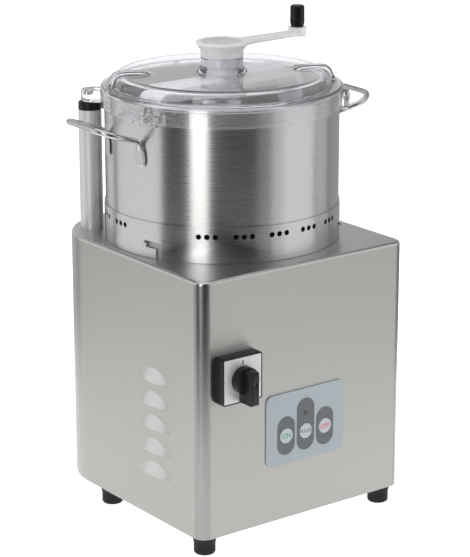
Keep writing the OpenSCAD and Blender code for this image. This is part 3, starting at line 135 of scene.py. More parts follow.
def make_floor(name, inner, outer, material):
    """A flat ring of floor about the object, or a disc where the inner radius is zero."""
    count = FLOOR_SIDES
    around = [(math.cos(a), math.sin(a)) for a in turns(count)]
    verts = [(r * x, r * y, 0) for r in (outer, inner) if r for x, y in around]
    faces = [(i, (i + 1) % count, count + (i + 1) % count, count + i) for i in range(count)]
    mesh = bpy.data.meshes.new(name)
    mesh.from_pydata(verts, [], faces if inner else [tuple(range(count))])
    mesh.materials.append(material)
    floor = bpy.data.objects.new(name, mesh)
    bpy.context.scene.collection.objects.link(floor)
    return floor


def make_world():
    """A dim room for light that has bounced, and a pale backdrop, also through the clear lid."""
    world = bpy.data.worlds.new("studio")
    world.use_nodes = True
    tree = world.node_tree
    room = tree.nodes["Background"]
    room.inputs["Color"].default_value = (ROOM_GREY, ROOM_GREY, ROOM_GREY, 1)
    backdrop = tree.nodes.new("ShaderNodeBackground")
    backdrop.inputs["Color"].default_value = (BACKDROP_GREY, BACKDROP_GREY, BACKDROP_GREY, 1)
    path = tree.nodes.new("ShaderNodeLightPath")
    bounces = tree.nodes.new("ShaderNodeMath")
    bounces.operation = "ADD"
    bounces.use_clamp = True
    mix = tree.nodes.new("ShaderNodeMixShader")
    tree.links.new(path.outputs["Glossy Depth"], bounces.inputs[0])
    tree.links.new(path.outputs["Diffuse Depth"], bounces.inputs[1])
    tree.links.new(bounces.outputs["Value"], mix.inputs["Fac"])
    tree.links.new(backdrop.outputs["Background"], mix.inputs[1])
    tree.links.new(room.outputs["Background"], mix.inputs[2])
    tree.links.new(mix.outputs["Shader"], tree.nodes["World Output"].inputs["Surface"])
    bpy.context.scene.world = world


def make_studio():
    """Softboxes, a sky over the object, and a floor whose far part isn't seen in gloss."""
    bpy.context.scene.view_settings.view_transform = "Standard"
    make_world()
    for name, (azimuth, distance, width, low, high, radiance) in SOFTBOXES.items():
        a, z = math.radians(azimuth), (low + high) / 2
        spot = (distance * math.sin(a), -distance * math.cos(a), z)
        make_softbox(name, spot, (0, 0, z), width, high - low, radiance)
    make_softbox("sky", (0, 0, SKY_HEIGHT), (0, 0, 0), SKY_SIZE, SKY_SIZE, SKY_RADIANCE)
    paper = surface(
        "floor", FLOOR_COLOUR, roughness=0.9, tone=0.01, grain=(3, 3, 3), bump=0,
        sockets={"Emission Color": (1, 1, 1, 1), "Emission Strength": FLOOR_GLOW},
    )
    make_floor("paper", 0, PAPER_R, paper)
    floor = make_floor("floor", PAPER_R, FLOOR_R, paper)
    floor.visible_glossy = False
    floor.visible_transmission = False
    floor.visible_shadow = False


# Materials

# Where the noise is cut off before it is spread over a range, and how fine its octaves go
NOISE_LOW, NOISE_HIGH = 0.3, 0.7
GRAIN_DETAIL, PATCH_DETAIL = 3.0, 2.0


def surface(
    name, colour, metallic=0.0, roughness=0.5, tone=0.05, rough_shift=0.05,
    grain=(60, 60, 60), patch=(9, 9, 9), bump=0.1, bump_depth=0.02, sockets=None, radial=False,
):
    """Procedural material: fine grain in its bump and roughness, and soft patches in its colour.

    grain and patch are noise scales per metre along x, y and z, and bump_depth is in millimetres.
    """
    material = bpy.data.materials.new(name)
    material.use_nodes = True
    tree = material.node_tree
    shader = tree.nodes["Principled BSDF"]
    shader.inputs["Metallic"].default_value = metallic
    for socket, value in (sockets or {}).items():
        shader.inputs[socket].default_value = value
    coords = tree.nodes.new("ShaderNodeTexCoord")

    def noise(scale, detail):
        """A noise that is scaled along the object's axes."""
        mapping = tree.nodes.new("ShaderNodeMapping")
        mapping.inputs["Scale"].default_value = scale
        texture = tree.nodes.new("ShaderNodeTexNoise")
        texture.inputs["Scale"].default_value = 1.0
        texture.inputs["Detail"].default_value = detail
        tree.links.new(coords.outputs["Object"], mapping.inputs["Vector"])
        tree.links.new(mapping.outputs["Vector"], texture.inputs["Vector"])
        return texture.outputs["Fac"]

    def spread(source, low, high):
        """A noise's usual range spread from a low to a high value."""
        scale = tree.nodes.new("ShaderNodeMapRange")
        scale.inputs["From Min"].default_value = NOISE_LOW
        scale.inputs["From Max"].default_value = NOISE_HIGH
        scale.inputs["To Min"].default_value = low
        scale.inputs["To Max"].default_value = high
        tree.links.new(source, scale.inputs["Value"])
        return scale.outputs["Result"]

    grain_fac = noise(grain, GRAIN_DETAIL)
    patch_fac = noise(patch, PATCH_DETAIL)
    mix = tree.nodes.new("ShaderNodeMix")
    mix.data_type = "RGBA"
    mix.inputs["A"].default_value = (*[c * (1 - tone) for c in colour], 1)
    mix.inputs["B"].default_value = (*[min(1.0, c * (1 + tone)) for c in colour], 1)
    both = tree.nodes.new("ShaderNodeMath")
    both.operation = "ADD"
    tree.links.new(spread(grain_fac, 0, 0.5), both.inputs[0])
    tree.links.new(spread(patch_fac, 0, 0.5), both.inputs[1])
    tree.links.new(both.outputs["Value"], mix.inputs["Factor"])
    tree.links.new(mix.outputs["Result"], shader.inputs["Base Color"])
    tree.links.new(
        spread(grain_fac, roughness - rough_shift, roughness + rough_shift), shader.inputs["Roughness"]
    )
    if bump:
        relief = tree.nodes.new("ShaderNodeBump")
        relief.inputs["Strength"].default_value = bump
        relief.inputs["Distance"].default_value = bump_depth * MM
        tree.links.new(grain_fac, relief.inputs["Height"])
        tree.links.new(relief.outputs["Normal"], shader.inputs["Normal"])
    if radial:
        tangent = tree.nodes.new("ShaderNodeTangent")
        tangent.direction_type = "RADIAL"
        tangent.axis = "Z"
        tree.links.new(tangent.outputs["Tangent"], shader.inputs["Tangent"])
    return material


LID_COLOUR, LID_ROUGHNESS, LID_IOR, LID_TRANSMISSION = (0.965, 0.965, 0.99), 0.04, 1.46, 0.965
LID_SHADOW = (0.93, 0.93, 0.96, 1)


def clear_plastic(name):
    """Clear moulded plastic that lets light through to what is behind it."""
    material = surface(
        name, LID_COLOUR, roughness=LID_ROUGHNESS, tone=0.01, rough_shift=0.02, grain=(40, 40, 40),
        bump=0.05, sockets={"Transmission Weight": LID_TRANSMISSION, "IOR": LID_IOR},
    )
    tree = material.node_tree
    path = tree.nodes.new("ShaderNodeLightPath")
    film = tree.nodes.new("ShaderNodeBsdfTransparent")
    film.inputs["Color"].default_value = LID_SHADOW
    mix = tree.nodes.new("ShaderNodeMixShader")
    tree.links.new(path.outputs["Is Shadow Ray"], mix.inputs["Fac"])
    tree.links.new(tree.nodes["Principled BSDF"].outputs["BSDF"], mix.inputs[1])
    tree.links.new(film.outputs["BSDF"], mix.inputs[2])
    tree.links.new(mix.outputs["Shader"], tree.nodes["Material Output"].inputs["Surface"])
    return material


ROUND_GRAIN = (14, 14, 2600)
PANEL_GRAIN = (22, 22, 2200)
SHEET_GRAIN = (22, 2200, 22)
FILM_GRAIN = (1400, 1400, 1400)
INK_GRAIN = (900, 900, 900)
# Fine lines that run round the object spread a reflection up and down
BRUSHED = {"Anisotropic": 0.8, "Anisotropic Rotation": 0.25}

LOOKS = {
    "panel_steel": dict(
        colour=(0.415, 0.41, 0.397), metallic=1.0, roughness=0.38, tone=0.03, rough_shift=0.04,
        grain=PANEL_GRAIN, patch=(3, 3, 3), bump=0.25, bump_depth=0.01,
        sockets=BRUSHED, radial=True,
    ),
    "top_steel": dict(
        colour=(0.53, 0.54, 0.555), metallic=1.0, roughness=0.36, tone=0.03, rough_shift=0.05,
        grain=SHEET_GRAIN, patch=(3, 3, 3), bump=0.25, bump_depth=0.01,
    ),
    "edge_steel": dict(
        colour=(0.56, 0.55, 0.54), metallic=1.0, roughness=0.27, tone=0.03, rough_shift=0.05,
        grain=SHEET_GRAIN, patch=(3, 3, 3), bump=0.1, bump_depth=0.01,
    ),
    # Darker copy of the housing's steel: a painted dark reflection on the front corners
    "corner_painted_reflection": dict(
        colour=(0.31, 0.305, 0.30), metallic=1.0, roughness=0.30, tone=0.03, rough_shift=0.05,
        grain=SHEET_GRAIN, patch=(3, 3, 3), bump=0.1, bump_depth=0.01,
    ),
    # Lighter copy of the housing's steel: a painted highlight on the louvres
    "louvre_painted_highlight": dict(
        colour=(0.72, 0.715, 0.70), metallic=1.0, roughness=0.36, tone=0.03, rough_shift=0.05,
        grain=SHEET_GRAIN, patch=(3, 3, 3), bump=0.1, bump_depth=0.01,
    ),
    "bowl_steel": dict(
        colour=(0.61, 0.605, 0.595), metallic=1.0, roughness=0.275, tone=0.02, rough_shift=0.012,
        grain=ROUND_GRAIN, patch=(4, 4, 4), bump=0.03, bump_depth=0.01,
        sockets=BRUSHED, radial=True,
    ),
    "bright_steel": dict(
        colour=(0.58, 0.57, 0.56), metallic=1.0, roughness=0.30, tone=0.05, rough_shift=0.06,
        grain=(420, 420, 420), bump=0.15, bump_depth=0.01,
    ),
    "aluminium": dict(
        colour=(0.74, 0.75, 0.74), metallic=1.0, roughness=0.52, tone=0.02, rough_shift=0.03,
        grain=(900, 900, 12), bump=0.1, bump_depth=0.01,
    ),
    "casting": dict(
        colour=(0.50, 0.51, 0.52), metallic=1.0, roughness=0.5, tone=0.08, rough_shift=0.08,
        grain=(260, 260, 260), bump=0.3, bump_depth=0.05,
    ),
    "rubber": dict(
        colour=(0.012, 0.012, 0.013), metallic=0.0, roughness=0.62, tone=0.15, rough_shift=0.08,
        grain=(500, 500, 500), bump=0.25, bump_depth=0.05, sockets={"Specular IOR Level": 0.25},
    ),
    "black_plastic": dict(
        colour=(0.007, 0.007, 0.0075), metallic=0.0, roughness=0.34, tone=0.12, rough_shift=0.06,
        grain=(900, 900, 900), bump=0.2, bump_depth=0.03, sockets={"Specular IOR Level": 0.3},
    ),
    "white_plastic": dict(
        colour=(0.90, 0.905, 0.91), metallic=0.0, roughness=0.30, tone=0.02, rough_shift=0.05,
        grain=(240, 240, 240), bump=0.08, bump_depth=0.03,
        sockets={"Subsurface Weight": 0.08, "Subsurface Scale": 0.004},
    ),
    "switch_plate": dict(
        colour=(0.62, 0.62, 0.63), metallic=0.4, roughness=0.38, tone=0.03, rough_shift=0.04,
        grain=(18, 1500, 1500), bump=0.2, bump_depth=0.01,
    ),
    "panel_film": dict(
        colour=(0.350, 0.395, 0.425), metallic=0.0, roughness=0.42, tone=0.03, rough_shift=0.05,
        grain=FILM_GRAIN, bump=0.15, bump_depth=0.02,
    ),
    "field_film": dict(
        colour=(0.102, 0.109, 0.117), metallic=0.0, roughness=0.42, tone=0.05, rough_shift=0.05,
        grain=FILM_GRAIN, bump=0.15, bump_depth=0.02,
    ),
    "button_film": dict(
        colour=(0.45, 0.49, 0.51), metallic=0.0, roughness=0.40, tone=0.03, rough_shift=0.05,
        grain=FILM_GRAIN, bump=0.12, bump_depth=0.02,
    ),
    "dark_steel": dict(
        colour=(0.06, 0.06, 0.06), metallic=1.0, roughness=0.35, tone=0.1, rough_shift=0.05,
        grain=(700, 700, 700), bump=0.2, bump_depth=0.02,
    ),
    "lamp_lens": dict(
        colour=(0.055, 0.05, 0.05), metallic=0.0, roughness=0.15, tone=0.1, rough_shift=0.04,
        grain=(900, 900, 900), bump=0.1, bump_depth=0.02,
    ),
    "board": dict(
        colour=(0.03, 0.13, 0.06), metallic=0.0, roughness=0.4, tone=0.2, rough_shift=0.08,
        grain=(700, 700, 700), patch=(90, 90, 90), bump=0.3, bump_depth=0.05,
    ),
    "armature": dict(
        colour=(0.50, 0.22, 0.10), metallic=1.0, roughness=0.35, tone=0.2, rough_shift=0.08,
        grain=(800, 800, 800), bump=0.5, bump_depth=0.2,
    ),
    "ink_green": dict(colour=(0.01, 0.33, 0.13), roughness=0.4, tone=0.08, grain=INK_GRAIN),
    "ink_grey": dict(colour=(0.10, 0.11, 0.12), roughness=0.4, tone=0.08, grain=INK_GRAIN),
    "ink_red": dict(colour=(0.60, 0.03, 0.03), roughness=0.4, tone=0.08, grain=INK_GRAIN),
}
MATERIALS = {name: surface(name, **look) for name, look in LOOKS.items()}
MATERIALS["lid_plastic"] = clear_plastic("lid_plastic")

# CAD nodes by material
DRESSED = {
    "panel_steel": ["housing", "base_plate"],
    "bowl_steel": ["bowl", "bowl_skirt", "bowl_sleeve"],
    "bright_steel": [
        "foot_screws", "flange_screws", "collar_pin_left", "collar_pin_front", "collar_pin_rear",
        "motor_shaft", "blade_lower", "blade_upper", "hub_nut", "lid_screw_left", "lid_screw_front",
        "lid_screw_rear", "lid_magnet", "knob_pin", "switch_shaft", "motor_bearing",
        "post_nut", "handle_left", "handle_right",
    ],
    "dark_steel": ["switch_screw"],
    "aluminium": ["post_tube"],
    "casting": ["motor_flange", "motor_can", "motor_endcap", "bowl_collar"],
    "rubber": [
        "foot_front_left", "foot_front_right", "foot_rear_left", "foot_rear_right", "shaft_seal",
    ],
    "black_plastic": [
        "post_cap", "switch_block", "switch_knob", "cable_gland", "gland_nut", "crank_knob",
        "cooling_fan",
    ],
    "white_plastic": ["crank_cup", "scraper", "blade_hub", "hub_disc"],
    "switch_plate": ["switch_bezel"],
    "panel_film": ["keypad_panel"],
    "field_film": ["keypad_fields"],
    "button_film": ["button_on", "button_pulse", "button_off"],
    "lamp_lens": ["lamp"],
    "board": ["keypad_board", "power_board", "post_sensor"],
    "armature": ["motor_armature"],
    "lid_plastic": ["lid"],
}

# How far up a face of the housing looks where it is on the top, and where it is on the rounded edge
TOP_FACING, EDGE_FACING, ROUNDED_EDGE = 0.97, 0.08, 0.012
# How far a face of a front corner looks both ways, where the corners get a painted dark reflection, and
# how far down the louvres start that get a painted highlight
PAINTED_CORNER_FACING, PAINTED_LOUVRE_DROP = 0.2, 0.05
# Materials of the housing after that of its walls, in the order of their indices: the top's and the
# rounded edge's steels, then a painted dark reflection on the front corners and a painted highlight on
# the louvres
HOUSING_STEELS_AND_PAINTED_LIGHT = ("top_steel", "edge_steel", "corner_painted_reflection", "louvre_painted_highlight")


def louvre_highlight_mask(face, low, high):
    """Whether a face of the housing belongs to one of the louvres in its sides, which get a painted
    highlight.
    """
    sloped = abs(face.normal.z) > EDGE_FACING and abs(face.normal.x) > EDGE_FACING
    on_side = min(face.center.x - low.x, high.x - face.center.x) < ROUNDED_EDGE
    return sloped and on_side and face.center.z < high.z - PAINTED_LOUVRE_DROP


def housing_steel_or_painted_light(face, low, high):
    """Index of the material of a face of the housing, where the front corners get a painted dark
    reflection and the louvres a painted highlight.
    """
    if face.normal.z > TOP_FACING:
        return 1
    if face.normal.z > EDGE_FACING and face.center.z > high.z - ROUNDED_EDGE:
        return 2
    both_ways = abs(face.normal.x * face.normal.y)
    # The front corners get a painted dark reflection
    if both_ways > PAINTED_CORNER_FACING and face.center.y < low.y + ROUNDED_EDGE:
        return 3
    # The louvres get a painted highlight
    return 4 if louvre_highlight_mask(face, low, high) else 0


def dress_nodes():
    """Gives each CAD node its material, and the housing five of them, two of which are a painted dark
    reflection on its front corners and a painted highlight on its louvres.
    """
    for material, names in DRESSED.items():
        for name in names:
            node = frame["nodes"][name]
            node.data.materials.clear()
            node.data.materials.append(MATERIALS[material])
            node.data.polygons.foreach_set("material_index", [0] * len(node.data.polygons))
    housing = frame["nodes"]["housing"]
    for steel in HOUSING_STEELS_AND_PAINTED_LIGHT:
        housing.data.materials.append(MATERIALS[steel])
    low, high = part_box("housing")
    for face in housing.data.polygons:
        face.material_index = housing_steel_or_painted_light(face, low, high)


# Mesh building, in millimetres about the bowl axis

def place(name, verts, faces, material, body, replaced=(), smooth_angle=35):
    """A new piece from millimetre points: it rides on a body and may stand for CAD nodes."""
    mesh = bpy.data.meshes.new(name)
    mesh.from_pydata([AXIS + Vector(v) * MM for v in verts], [], faces)
    return finish_piece(name, mesh, material, body, replaced, smooth_angle)


def finish_piece(name, mesh, material, body, replaced=(), smooth_angle=35):
    """Makes a piece of a mesh in metres, smooth except where its faces meet at more than an angle."""
    work = bmesh.new()
    work.from_mesh(mesh)
    bmesh.ops.remove_doubles(work, verts=work.verts, dist=WELD * MM)
    bmesh.ops.recalc_face_normals(work, faces=work.faces)
    for face in work.faces:
        face.smooth = True
    limit = math.radians(smooth_angle)
    for edge in work.edges:
        edge.smooth = len(edge.link_faces) == 2 and edge.calc_face_angle(0) < limit
    work.to_mesh(mesh)
    work.free()
    mesh.materials.clear()
    mesh.materials.append(MATERIALS[material])
    piece = bpy.data.objects.new(name, mesh)
    bpy.context.scene.collection.objects.link(piece)
    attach(piece, body)
    if replaced:
        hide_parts(*replaced)
    return piece


def chaikin(points, rounds=3):
    """Rounds the corners of an open line of tuples and keeps its ends."""
    for _ in range(rounds):
        cut = [points[0]]
        for a, b in zip(points, points[1:]):
            cut.append(tuple(0.75 * x + 0.25 * y for x, y in zip(a, b)))
            cut.append(tuple(0.25 * x + 0.75 * y for x, y in zip(a, b)))
        cut.append(points[-1])
        points = cut
    return points


def polar(radius, angle):
    """Point at a radius and an angle in degrees."""
    a = math.radians(angle)
    return radius * math.cos(a), radius * math.sin(a)


def arc(centre, radius, start, end, steps):
    """Points of an arc from one angle to another, in degrees."""
    angles = [math.radians(start + (end - start) * i / steps) for i in range(steps + 1)]
    return [(centre[0] + radius * math.cos(t), centre[1] + radius * math.sin(t)) for t in angles]


def grid_faces(rows, columns, close_rows=False):
    """Quads between rings of points that are stored one ring after another."""
    faces = []
    for i in range(rows if close_rows else rows - 1):
        for j in range(columns):
            a, b = i * columns, ((i + 1) % rows) * columns
            k = (j + 1) % columns
            faces.append((a + j, a + k, b + k, b + j))
    return faces


def lathe(profile, angles, closed=False, centre=(0.0, 0.0)):
    """Points and faces of a profile of (radius, height) turned about an upright axis."""
    verts = [
        (centre[0] + r * math.cos(a), centre[1] + r * math.sin(a), z) for r, z in profile for a in angles
    ]
    faces = grid_faces(len(profile), len(angles), close_rows=closed)
    if not closed:
        last = (len(profile) - 1) * len(angles)
        faces += [tuple(range(len(angles))), tuple(range(last, last + len(angles)))]
    return verts, faces


def rod(stations, around=20):
    """A tube through stations (x, y, z, half width, half thickness, power), with flat ends.

    The width lies along the first station's sideways direction and is carried along the line.
    """
    points = [Vector(s[:3]) for s in stations]
    wide = None
    verts = []
    for i, s in enumerate(stations):
        ahead = (points[min(i + 1, len(points) - 1)] - points[max(i - 1, 0)]).normalized()
        if wide is None:
            wide = Vector((-points[0].y, points[0].x, 0)).normalized()
        wide = (wide - ahead * wide.dot(ahead)).normalized()
        thick = ahead.cross(wide)
        for a in turns(around):
            c, d = math.cos(a), math.sin(a)
            u = math.copysign(abs(c) ** (2 / s[5]), c) * s[3]
            v = math.copysign(abs(d) ** (2 / s[5]), d) * s[4]
            verts.append(tuple(points[i] + wide * u + thick * v))
    return verts, grid_faces(len(stations), around) + [tuple(range(around))]


# Bowl handles: one bent rod each, pressed flat at both ends

HANDLE_Z = 405.0
HANDLE_TILT = math.radians(19.4)
HANDLE_FOOT = math.radians(14.96)
HANDLE_ROOT_R = 119.78
HANDLE_LEG_START = (0.0, 32.0)
HANDLE_LEG_TURN = 14.93
HANDLE_LEG_STEPS = (4.5, 8.0, 12.0, 18.0, 24.0)
HANDLE_CORNER = (28.8, 19.3)
HANDLE_CORNER_R = 20.0
ROD_R = 3.0
# Radius from the bowl axis, height, half width, half thickness and power of each station on the wall
HANDLE_FOOT_STATIONS = (
    (121.6, 380.1, 3.4, 0.5, 2.2), (121.7, 380.5, 5.0, 1.0, 2.4), (121.75, 382.0, 6.4, 1.2, 3.0),
    (121.75, 385.0, 6.8, 1.2, 3.2), (121.75, 391.0, 6.7, 1.25, 3.0), (121.9, 395.5, 5.8, 1.6, 2.6),
    (122.4, 399.5, 4.2, 2.3, 2.2), (123.4, 403.0, 3.2, 2.9, 2.0),
)
# Name, angle on the bowl and the CAD node that it stands for
HANDLES = (("rod_handle_left", 177, "handle_left"), ("rod_handle_right", 357, "handle_right"))


def handle_half(side):
    """Points and faces of half a handle about the X axis, from its foot to its middle."""
    stations = []
    for r, z, *section in HANDLE_FOOT_STATIONS:
        stations.append((r * math.cos(HANDLE_FOOT), side * r * math.sin(HANDLE_FOOT), z, *section))
    stations = chaikin(stations, 1)
    leg = math.radians(HANDLE_LEG_TURN)
    line = [
        (HANDLE_LEG_START[0] + d * math.cos(leg), HANDLE_LEG_START[1] + d * math.sin(leg))
        for d in HANDLE_LEG_STEPS
    ]
    line += arc(HANDLE_CORNER, HANDLE_CORNER_R, 90 + HANDLE_LEG_TURN, 0, 14)
    line.append((HANDLE_CORNER[0] + HANDLE_CORNER_R, 0.0))
    loop = []
    for u, v in line:
        x, z = HANDLE_ROOT_R + u * math.cos(HANDLE_TILT), HANDLE_Z + u * math.sin(HANDLE_TILT)
        loop.append((x, side * v, z, ROD_R, ROD_R, 2.0))
    stations += chaikin([stations[-1], *loop], 1)[1:]
    stations[-1] = (stations[-1][0], 0.0, *stations[-1][2:])
    return rod(stations)


def make_handles():
    """Both wire handles, each of two mirrored halves."""
    for name, angle, node in HANDLES:
        verts, faces = [], []
        for side in (1, -1):
            half_verts, half_faces = handle_half(side)
            faces += [tuple(i + len(verts) for i in face) for face in half_faces]
            verts += half_verts
        spin = Matrix.Rotation(math.radians(angle), 3, "Z")
        verts = [tuple(spin @ Vector(v)) for v in verts]
        place(name, verts, faces, "bright_steel", "bowl", (node,), smooth_angle=60)


# Lid: one turned shell whose section swells into two grip bumps, with its lugs joined on

LID_LOW, LID_SEAT, LID_FLANGE, LID_CROWN, NECK_TOP = 425.0, 443.0, 446.0, 458.0, 472.7
LID_OUT_R, LID_IN_R, CROWN_R, NECK_R, NECK_IN_R = 124.4, 122.4, 111.6, 21.5, 18.6
LID_WALL, LID_EDGE_R, CROWN_EDGE_R, CROWN_ROOT_R = 3.0, 3, 9, 1.2
LOW_SOFT, NECK_SOFT, SEAT_SOFT = 0.4, 0.6, 0.8
BEAD_R, BEAD_UP = 1.1, 3.85
# Radii of the points on the flat of the crown, from the bumps to the bead
CROWN_RADII, CROWN_END_R = (60.0, 45.0, 32.0), 26.0
BUMP_ANGLES = (154, -26)
# The section along the middle of a bump, above and below
BUMP_OUTER = (
    (118.2, 446.0), (116.2, 451.5), (113.0, 458.2), (108.5, 461.5), (79.0, 461.5), (73.0, 458.0),
)
BUMP_INNER = (
    (115.2, 443.0), (113.0, 449.5), (110.5, 455.6), (106.0, 458.4), (82.0, 458.4), (76.5, 455.0),
)
BUMP_HALF, BUMP_SIDE, SECTION_STEP = 10.5, 6.0, 1.2
# Steps round the lid in degrees, near a bump and elsewhere, and how far from a bump the fine ones go
FINE_STEP, PLAIN_STEP, FINE_SPAN = 0.4, 1.6, 8


def resample(line, step):
    """The same line with points no further apart than a step."""
    dense = [line[0]]
    for a, b in zip(line, line[1:]):
        parts = max(1, math.ceil(math.dist(a, b) / step))
        dense += [tuple(p + (q - p) * i / parts for p, q in zip(a, b)) for i in range(1, parts + 1)]
    return dense


def along(line, share):
    """The point at a share of a line's length."""
    lengths = [math.dist(a, b) for a, b in zip(line, line[1:])]
    left = share * sum(lengths)
    for (a, b), length in zip(zip(line, line[1:]), lengths):
        if left <= length:
            return tuple(p + (q - p) * left / length for p, q in zip(a, b))
        left -= length
    return line[-1]


def bump_section(plain, bumped):
    """Pairs of plain and bumped points that belong together along two lines."""
    plain = resample(plain, SECTION_STEP)
    bumped = chaikin(list(bumped))
    lengths = [0.0]
    for a, b in zip(plain, plain[1:]):
        lengths.append(lengths[-1] + math.dist(a, b))
    return [(p, along(bumped, length / lengths[-1])) for p, length in zip(plain, lengths)]


def lid_profile():
    """Closed section of the lid as (plain point, bumped point, half width of the bump)."""
    crown_centre = (CROWN_R - CROWN_EDGE_R, LID_CROWN - CROWN_EDGE_R)
    under = LID_CROWN - LID_WALL
    outer_arc = arc((LID_OUT_R - LID_EDGE_R, LID_FLANGE - LID_EDGE_R), LID_EDGE_R, 0, 90, 8)
    crown_arc = arc(crown_centre, CROWN_EDGE_R, 0, 90, 18)
    inner_arc = arc(crown_centre, CROWN_EDGE_R - LID_WALL, 90, 0, 16)
    root = arc((CROWN_R + CROWN_ROOT_R, LID_FLANGE + CROWN_ROOT_R), CROWN_ROOT_R, 270, 180, 5)
    bead = arc((NECK_R + BEAD_R, LID_CROWN + BEAD_UP), BEAD_R, -10, 170, 10)
    rim = [(LID_IN_R + LOW_SOFT, LID_LOW), (LID_OUT_R - LOW_SOFT, LID_LOW)]
    rim += [(LID_OUT_R, LID_LOW + LOW_SOFT), *outer_arc]
    rows = [(p, p, BUMP_HALF) for p in rim]
    top = [BUMP_OUTER[0], *root, *crown_arc, BUMP_OUTER[-1]]
    rows += [(p, q, BUMP_HALF) for p, q in bump_section(top, BUMP_OUTER)]
    neck = [(r, LID_CROWN) for r in CROWN_RADII]
    neck += [(CROWN_END_R, LID_CROWN + 0.1), *bead, (NECK_R, LID_CROWN + 6.2), (NECK_R, 466.0)]
    neck += [(NECK_R, NECK_TOP - NECK_SOFT), (NECK_R - NECK_SOFT, NECK_TOP)]
    neck += [(NECK_IN_R + NECK_SOFT, NECK_TOP), (NECK_IN_R, NECK_TOP - NECK_SOFT)]
    neck += [(NECK_IN_R, 462.0), (NECK_IN_R, under + SEAT_SOFT), (NECK_IN_R + SEAT_SOFT, under)]
    neck += [(40.0, under), (60.0, under)]
    rows += [(p, p, BUMP_HALF) for p in neck]
    inside = [BUMP_INNER[0], (CROWN_R - LID_WALL, LID_SEAT), *inner_arc[::-1], BUMP_INNER[-1]]
    rows += [(p, q, BUMP_HALF - LID_WALL) for p, q in bump_section(inside, BUMP_INNER)[::-1]]
    seat = [(119.0, LID_SEAT), (LID_IN_R - SEAT_SOFT, LID_SEAT), (LID_IN_R, LID_SEAT - SEAT_SOFT)]
    seat.append((LID_IN_R, LID_LOW + LOW_SOFT))
    return rows + [(p, p, BUMP_HALF) for p in seat]


def lid_angles():
    """Steps round the lid, fine where a bump rises."""
    angles, a = [], 0.0
    while a < 360 - 1e-6:
        near = min(abs((a - b + 180) % 360 - 180) for b in BUMP_ANGLES)
        angles.append(math.radians(a))
        a += FINE_STEP if near < FINE_SPAN else PLAIN_STEP
    return angles


def lid_swell(radius, angle, half):
    """How far a point of the lid is swollen into a bump, from 0 to 1."""
    swell = 0.0
    for b in BUMP_ANGLES:
        turn = (angle - math.radians(b) + math.pi) % math.tau - math.pi
        if abs(turn) < math.pi / 2:
            share = min(1.0, max(0.0, (half - abs(radius * math.sin(turn))) / BUMP_SIDE))
            swell = max(swell, share * share * (3 - 2 * share))
    return swell


def lid_shell():
    """Points and faces of the turned lid with its bumps."""
    angles, rows = lid_angles(), lid_profile()
    verts = []
    for (r, z), (bump_r, bump_z), half in rows:
        for a in angles:
            swell = lid_swell(r, a, half)
            rr, zz = r + (bump_r - r) * swell, z + (bump_z - z) * swell
            verts.append((rr * math.cos(a), rr * math.sin(a), zz))
    return verts, grid_faces(len(rows), len(angles), close_rows=True)


BEVEL_STEPS = 3


def shape(verts, faces):
    """Work in progress from points and faces in millimetres."""
    work = bmesh.new()
    made = [work.verts.new(v) for v in verts]
    for face in faces:
        work.faces.new([made[i] for i in face])
    bmesh.ops.recalc_face_normals(work, faces=work.faces)
    return work


def block(low, high, turn=0.0, soft=0.0):
    """A box between two corners, turned about the bowl axis, with softened edges."""
    work = bmesh.new()
    bmesh.ops.create_cube(work, size=1.0)
    size = [b - a for a, b in zip(low, high)]
    middle = [(b + a) / 2 for a, b in zip(low, high)]
    for v in work.verts:
        v.co = Vector([c * s + m for c, s, m in zip(v.co, size, middle)])
    if soft:
        bmesh.ops.bevel(
            work, geom=work.edges[:], offset=soft, segments=BEVEL_STEPS, profile=0.5, affect="EDGES"
        )
    bmesh.ops.rotate(work, verts=work.verts, matrix=Matrix.Rotation(math.radians(turn), 3, "Z"))
    return work


def pillar(radius, low, high, centre=(0.0, 0.0), around=48, soft=0.0):
    """An upright cylinder, with softened rims."""
    profile = [(radius - soft, low), (radius, low + soft), (radius, high - soft), (radius - soft, high)]
    if not soft:
        profile = [(radius, low), (radius, high)]
    return shape(*lathe(profile, turns(around), centre=centre))


def scratch(work):
    """A scratch object for a boolean step, in millimetres about the bowl axis."""
    mesh = bpy.data.meshes.new("scratch")
    work.to_mesh(mesh)
    work.free()
    thing = bpy.data.objects.new("scratch", mesh)
    bpy.context.scene.collection.objects.link(thing)
    return thing


def scratch_shape(verts, faces):
    """A scratch object from points and faces in millimetres."""
    return scratch(shape(verts, faces))


def combine(base, others, operation):
    """A base after a boolean step with each of the others, which are used up."""
    for other in others:
        step = base.modifiers.new("step", "BOOLEAN")
        step.operation, step.object, step.solver = operation, other, "EXACT"
    graph = bpy.context.evaluated_depsgraph_get()
    mesh = bpy.data.meshes.new_from_object(base.evaluated_get(graph))
    base.modifiers.clear()
    base.data = mesh
    for other in others:
        bpy.data.objects.remove(other)
    return base


def take(thing, name, material, body, replaced=(), smooth_angle=35):
    """Turns a scratch object into a piece of the part."""
    mesh = thing.data
    bpy.data.objects.remove(thing)
    for v in mesh.vertices:
        v.co = AXIS + v.co * MM
    return finish_piece(name, mesh, material, body, replaced, smooth_angle)


LUG_ANGLES = (-163, -43, 77)
LUG_LOW, LUG_TOP, LUG_OUT, LUG_HALF, LUG_ROOT = 424.0, 435.5, 5.9, 16.0, 1.0
CELL_OFFSET, CELL_HALF, CELL_DEPTH, CELL_FLOOR = 9.5, 5.0, 4.5, 2
LUG_HOLE_R, LUG_HOLE_IN = 1.9, 2.9
POST_ANGLE, POST_ORBIT, LONG_LUG_HALF, LONG_LUG_SHORT = 134.8, 138.2, 13.0, 4.0
LONG_LUG_STEP, POST_HOLE_R, POST_HOLE_DEPTH = 0.05, 5.05, 5
# The rib on the crown's underside and its drop, as low and high corners before they are turned
RIB_ANGLE, RIB_SOFT = -114, 0.3
RIBS = (((51.0, -1.2, 453.0), (104.0, 1.2, 456.0)), ((106.6, -0.8, 441.0), (109.6, 0.8, 451.5)))


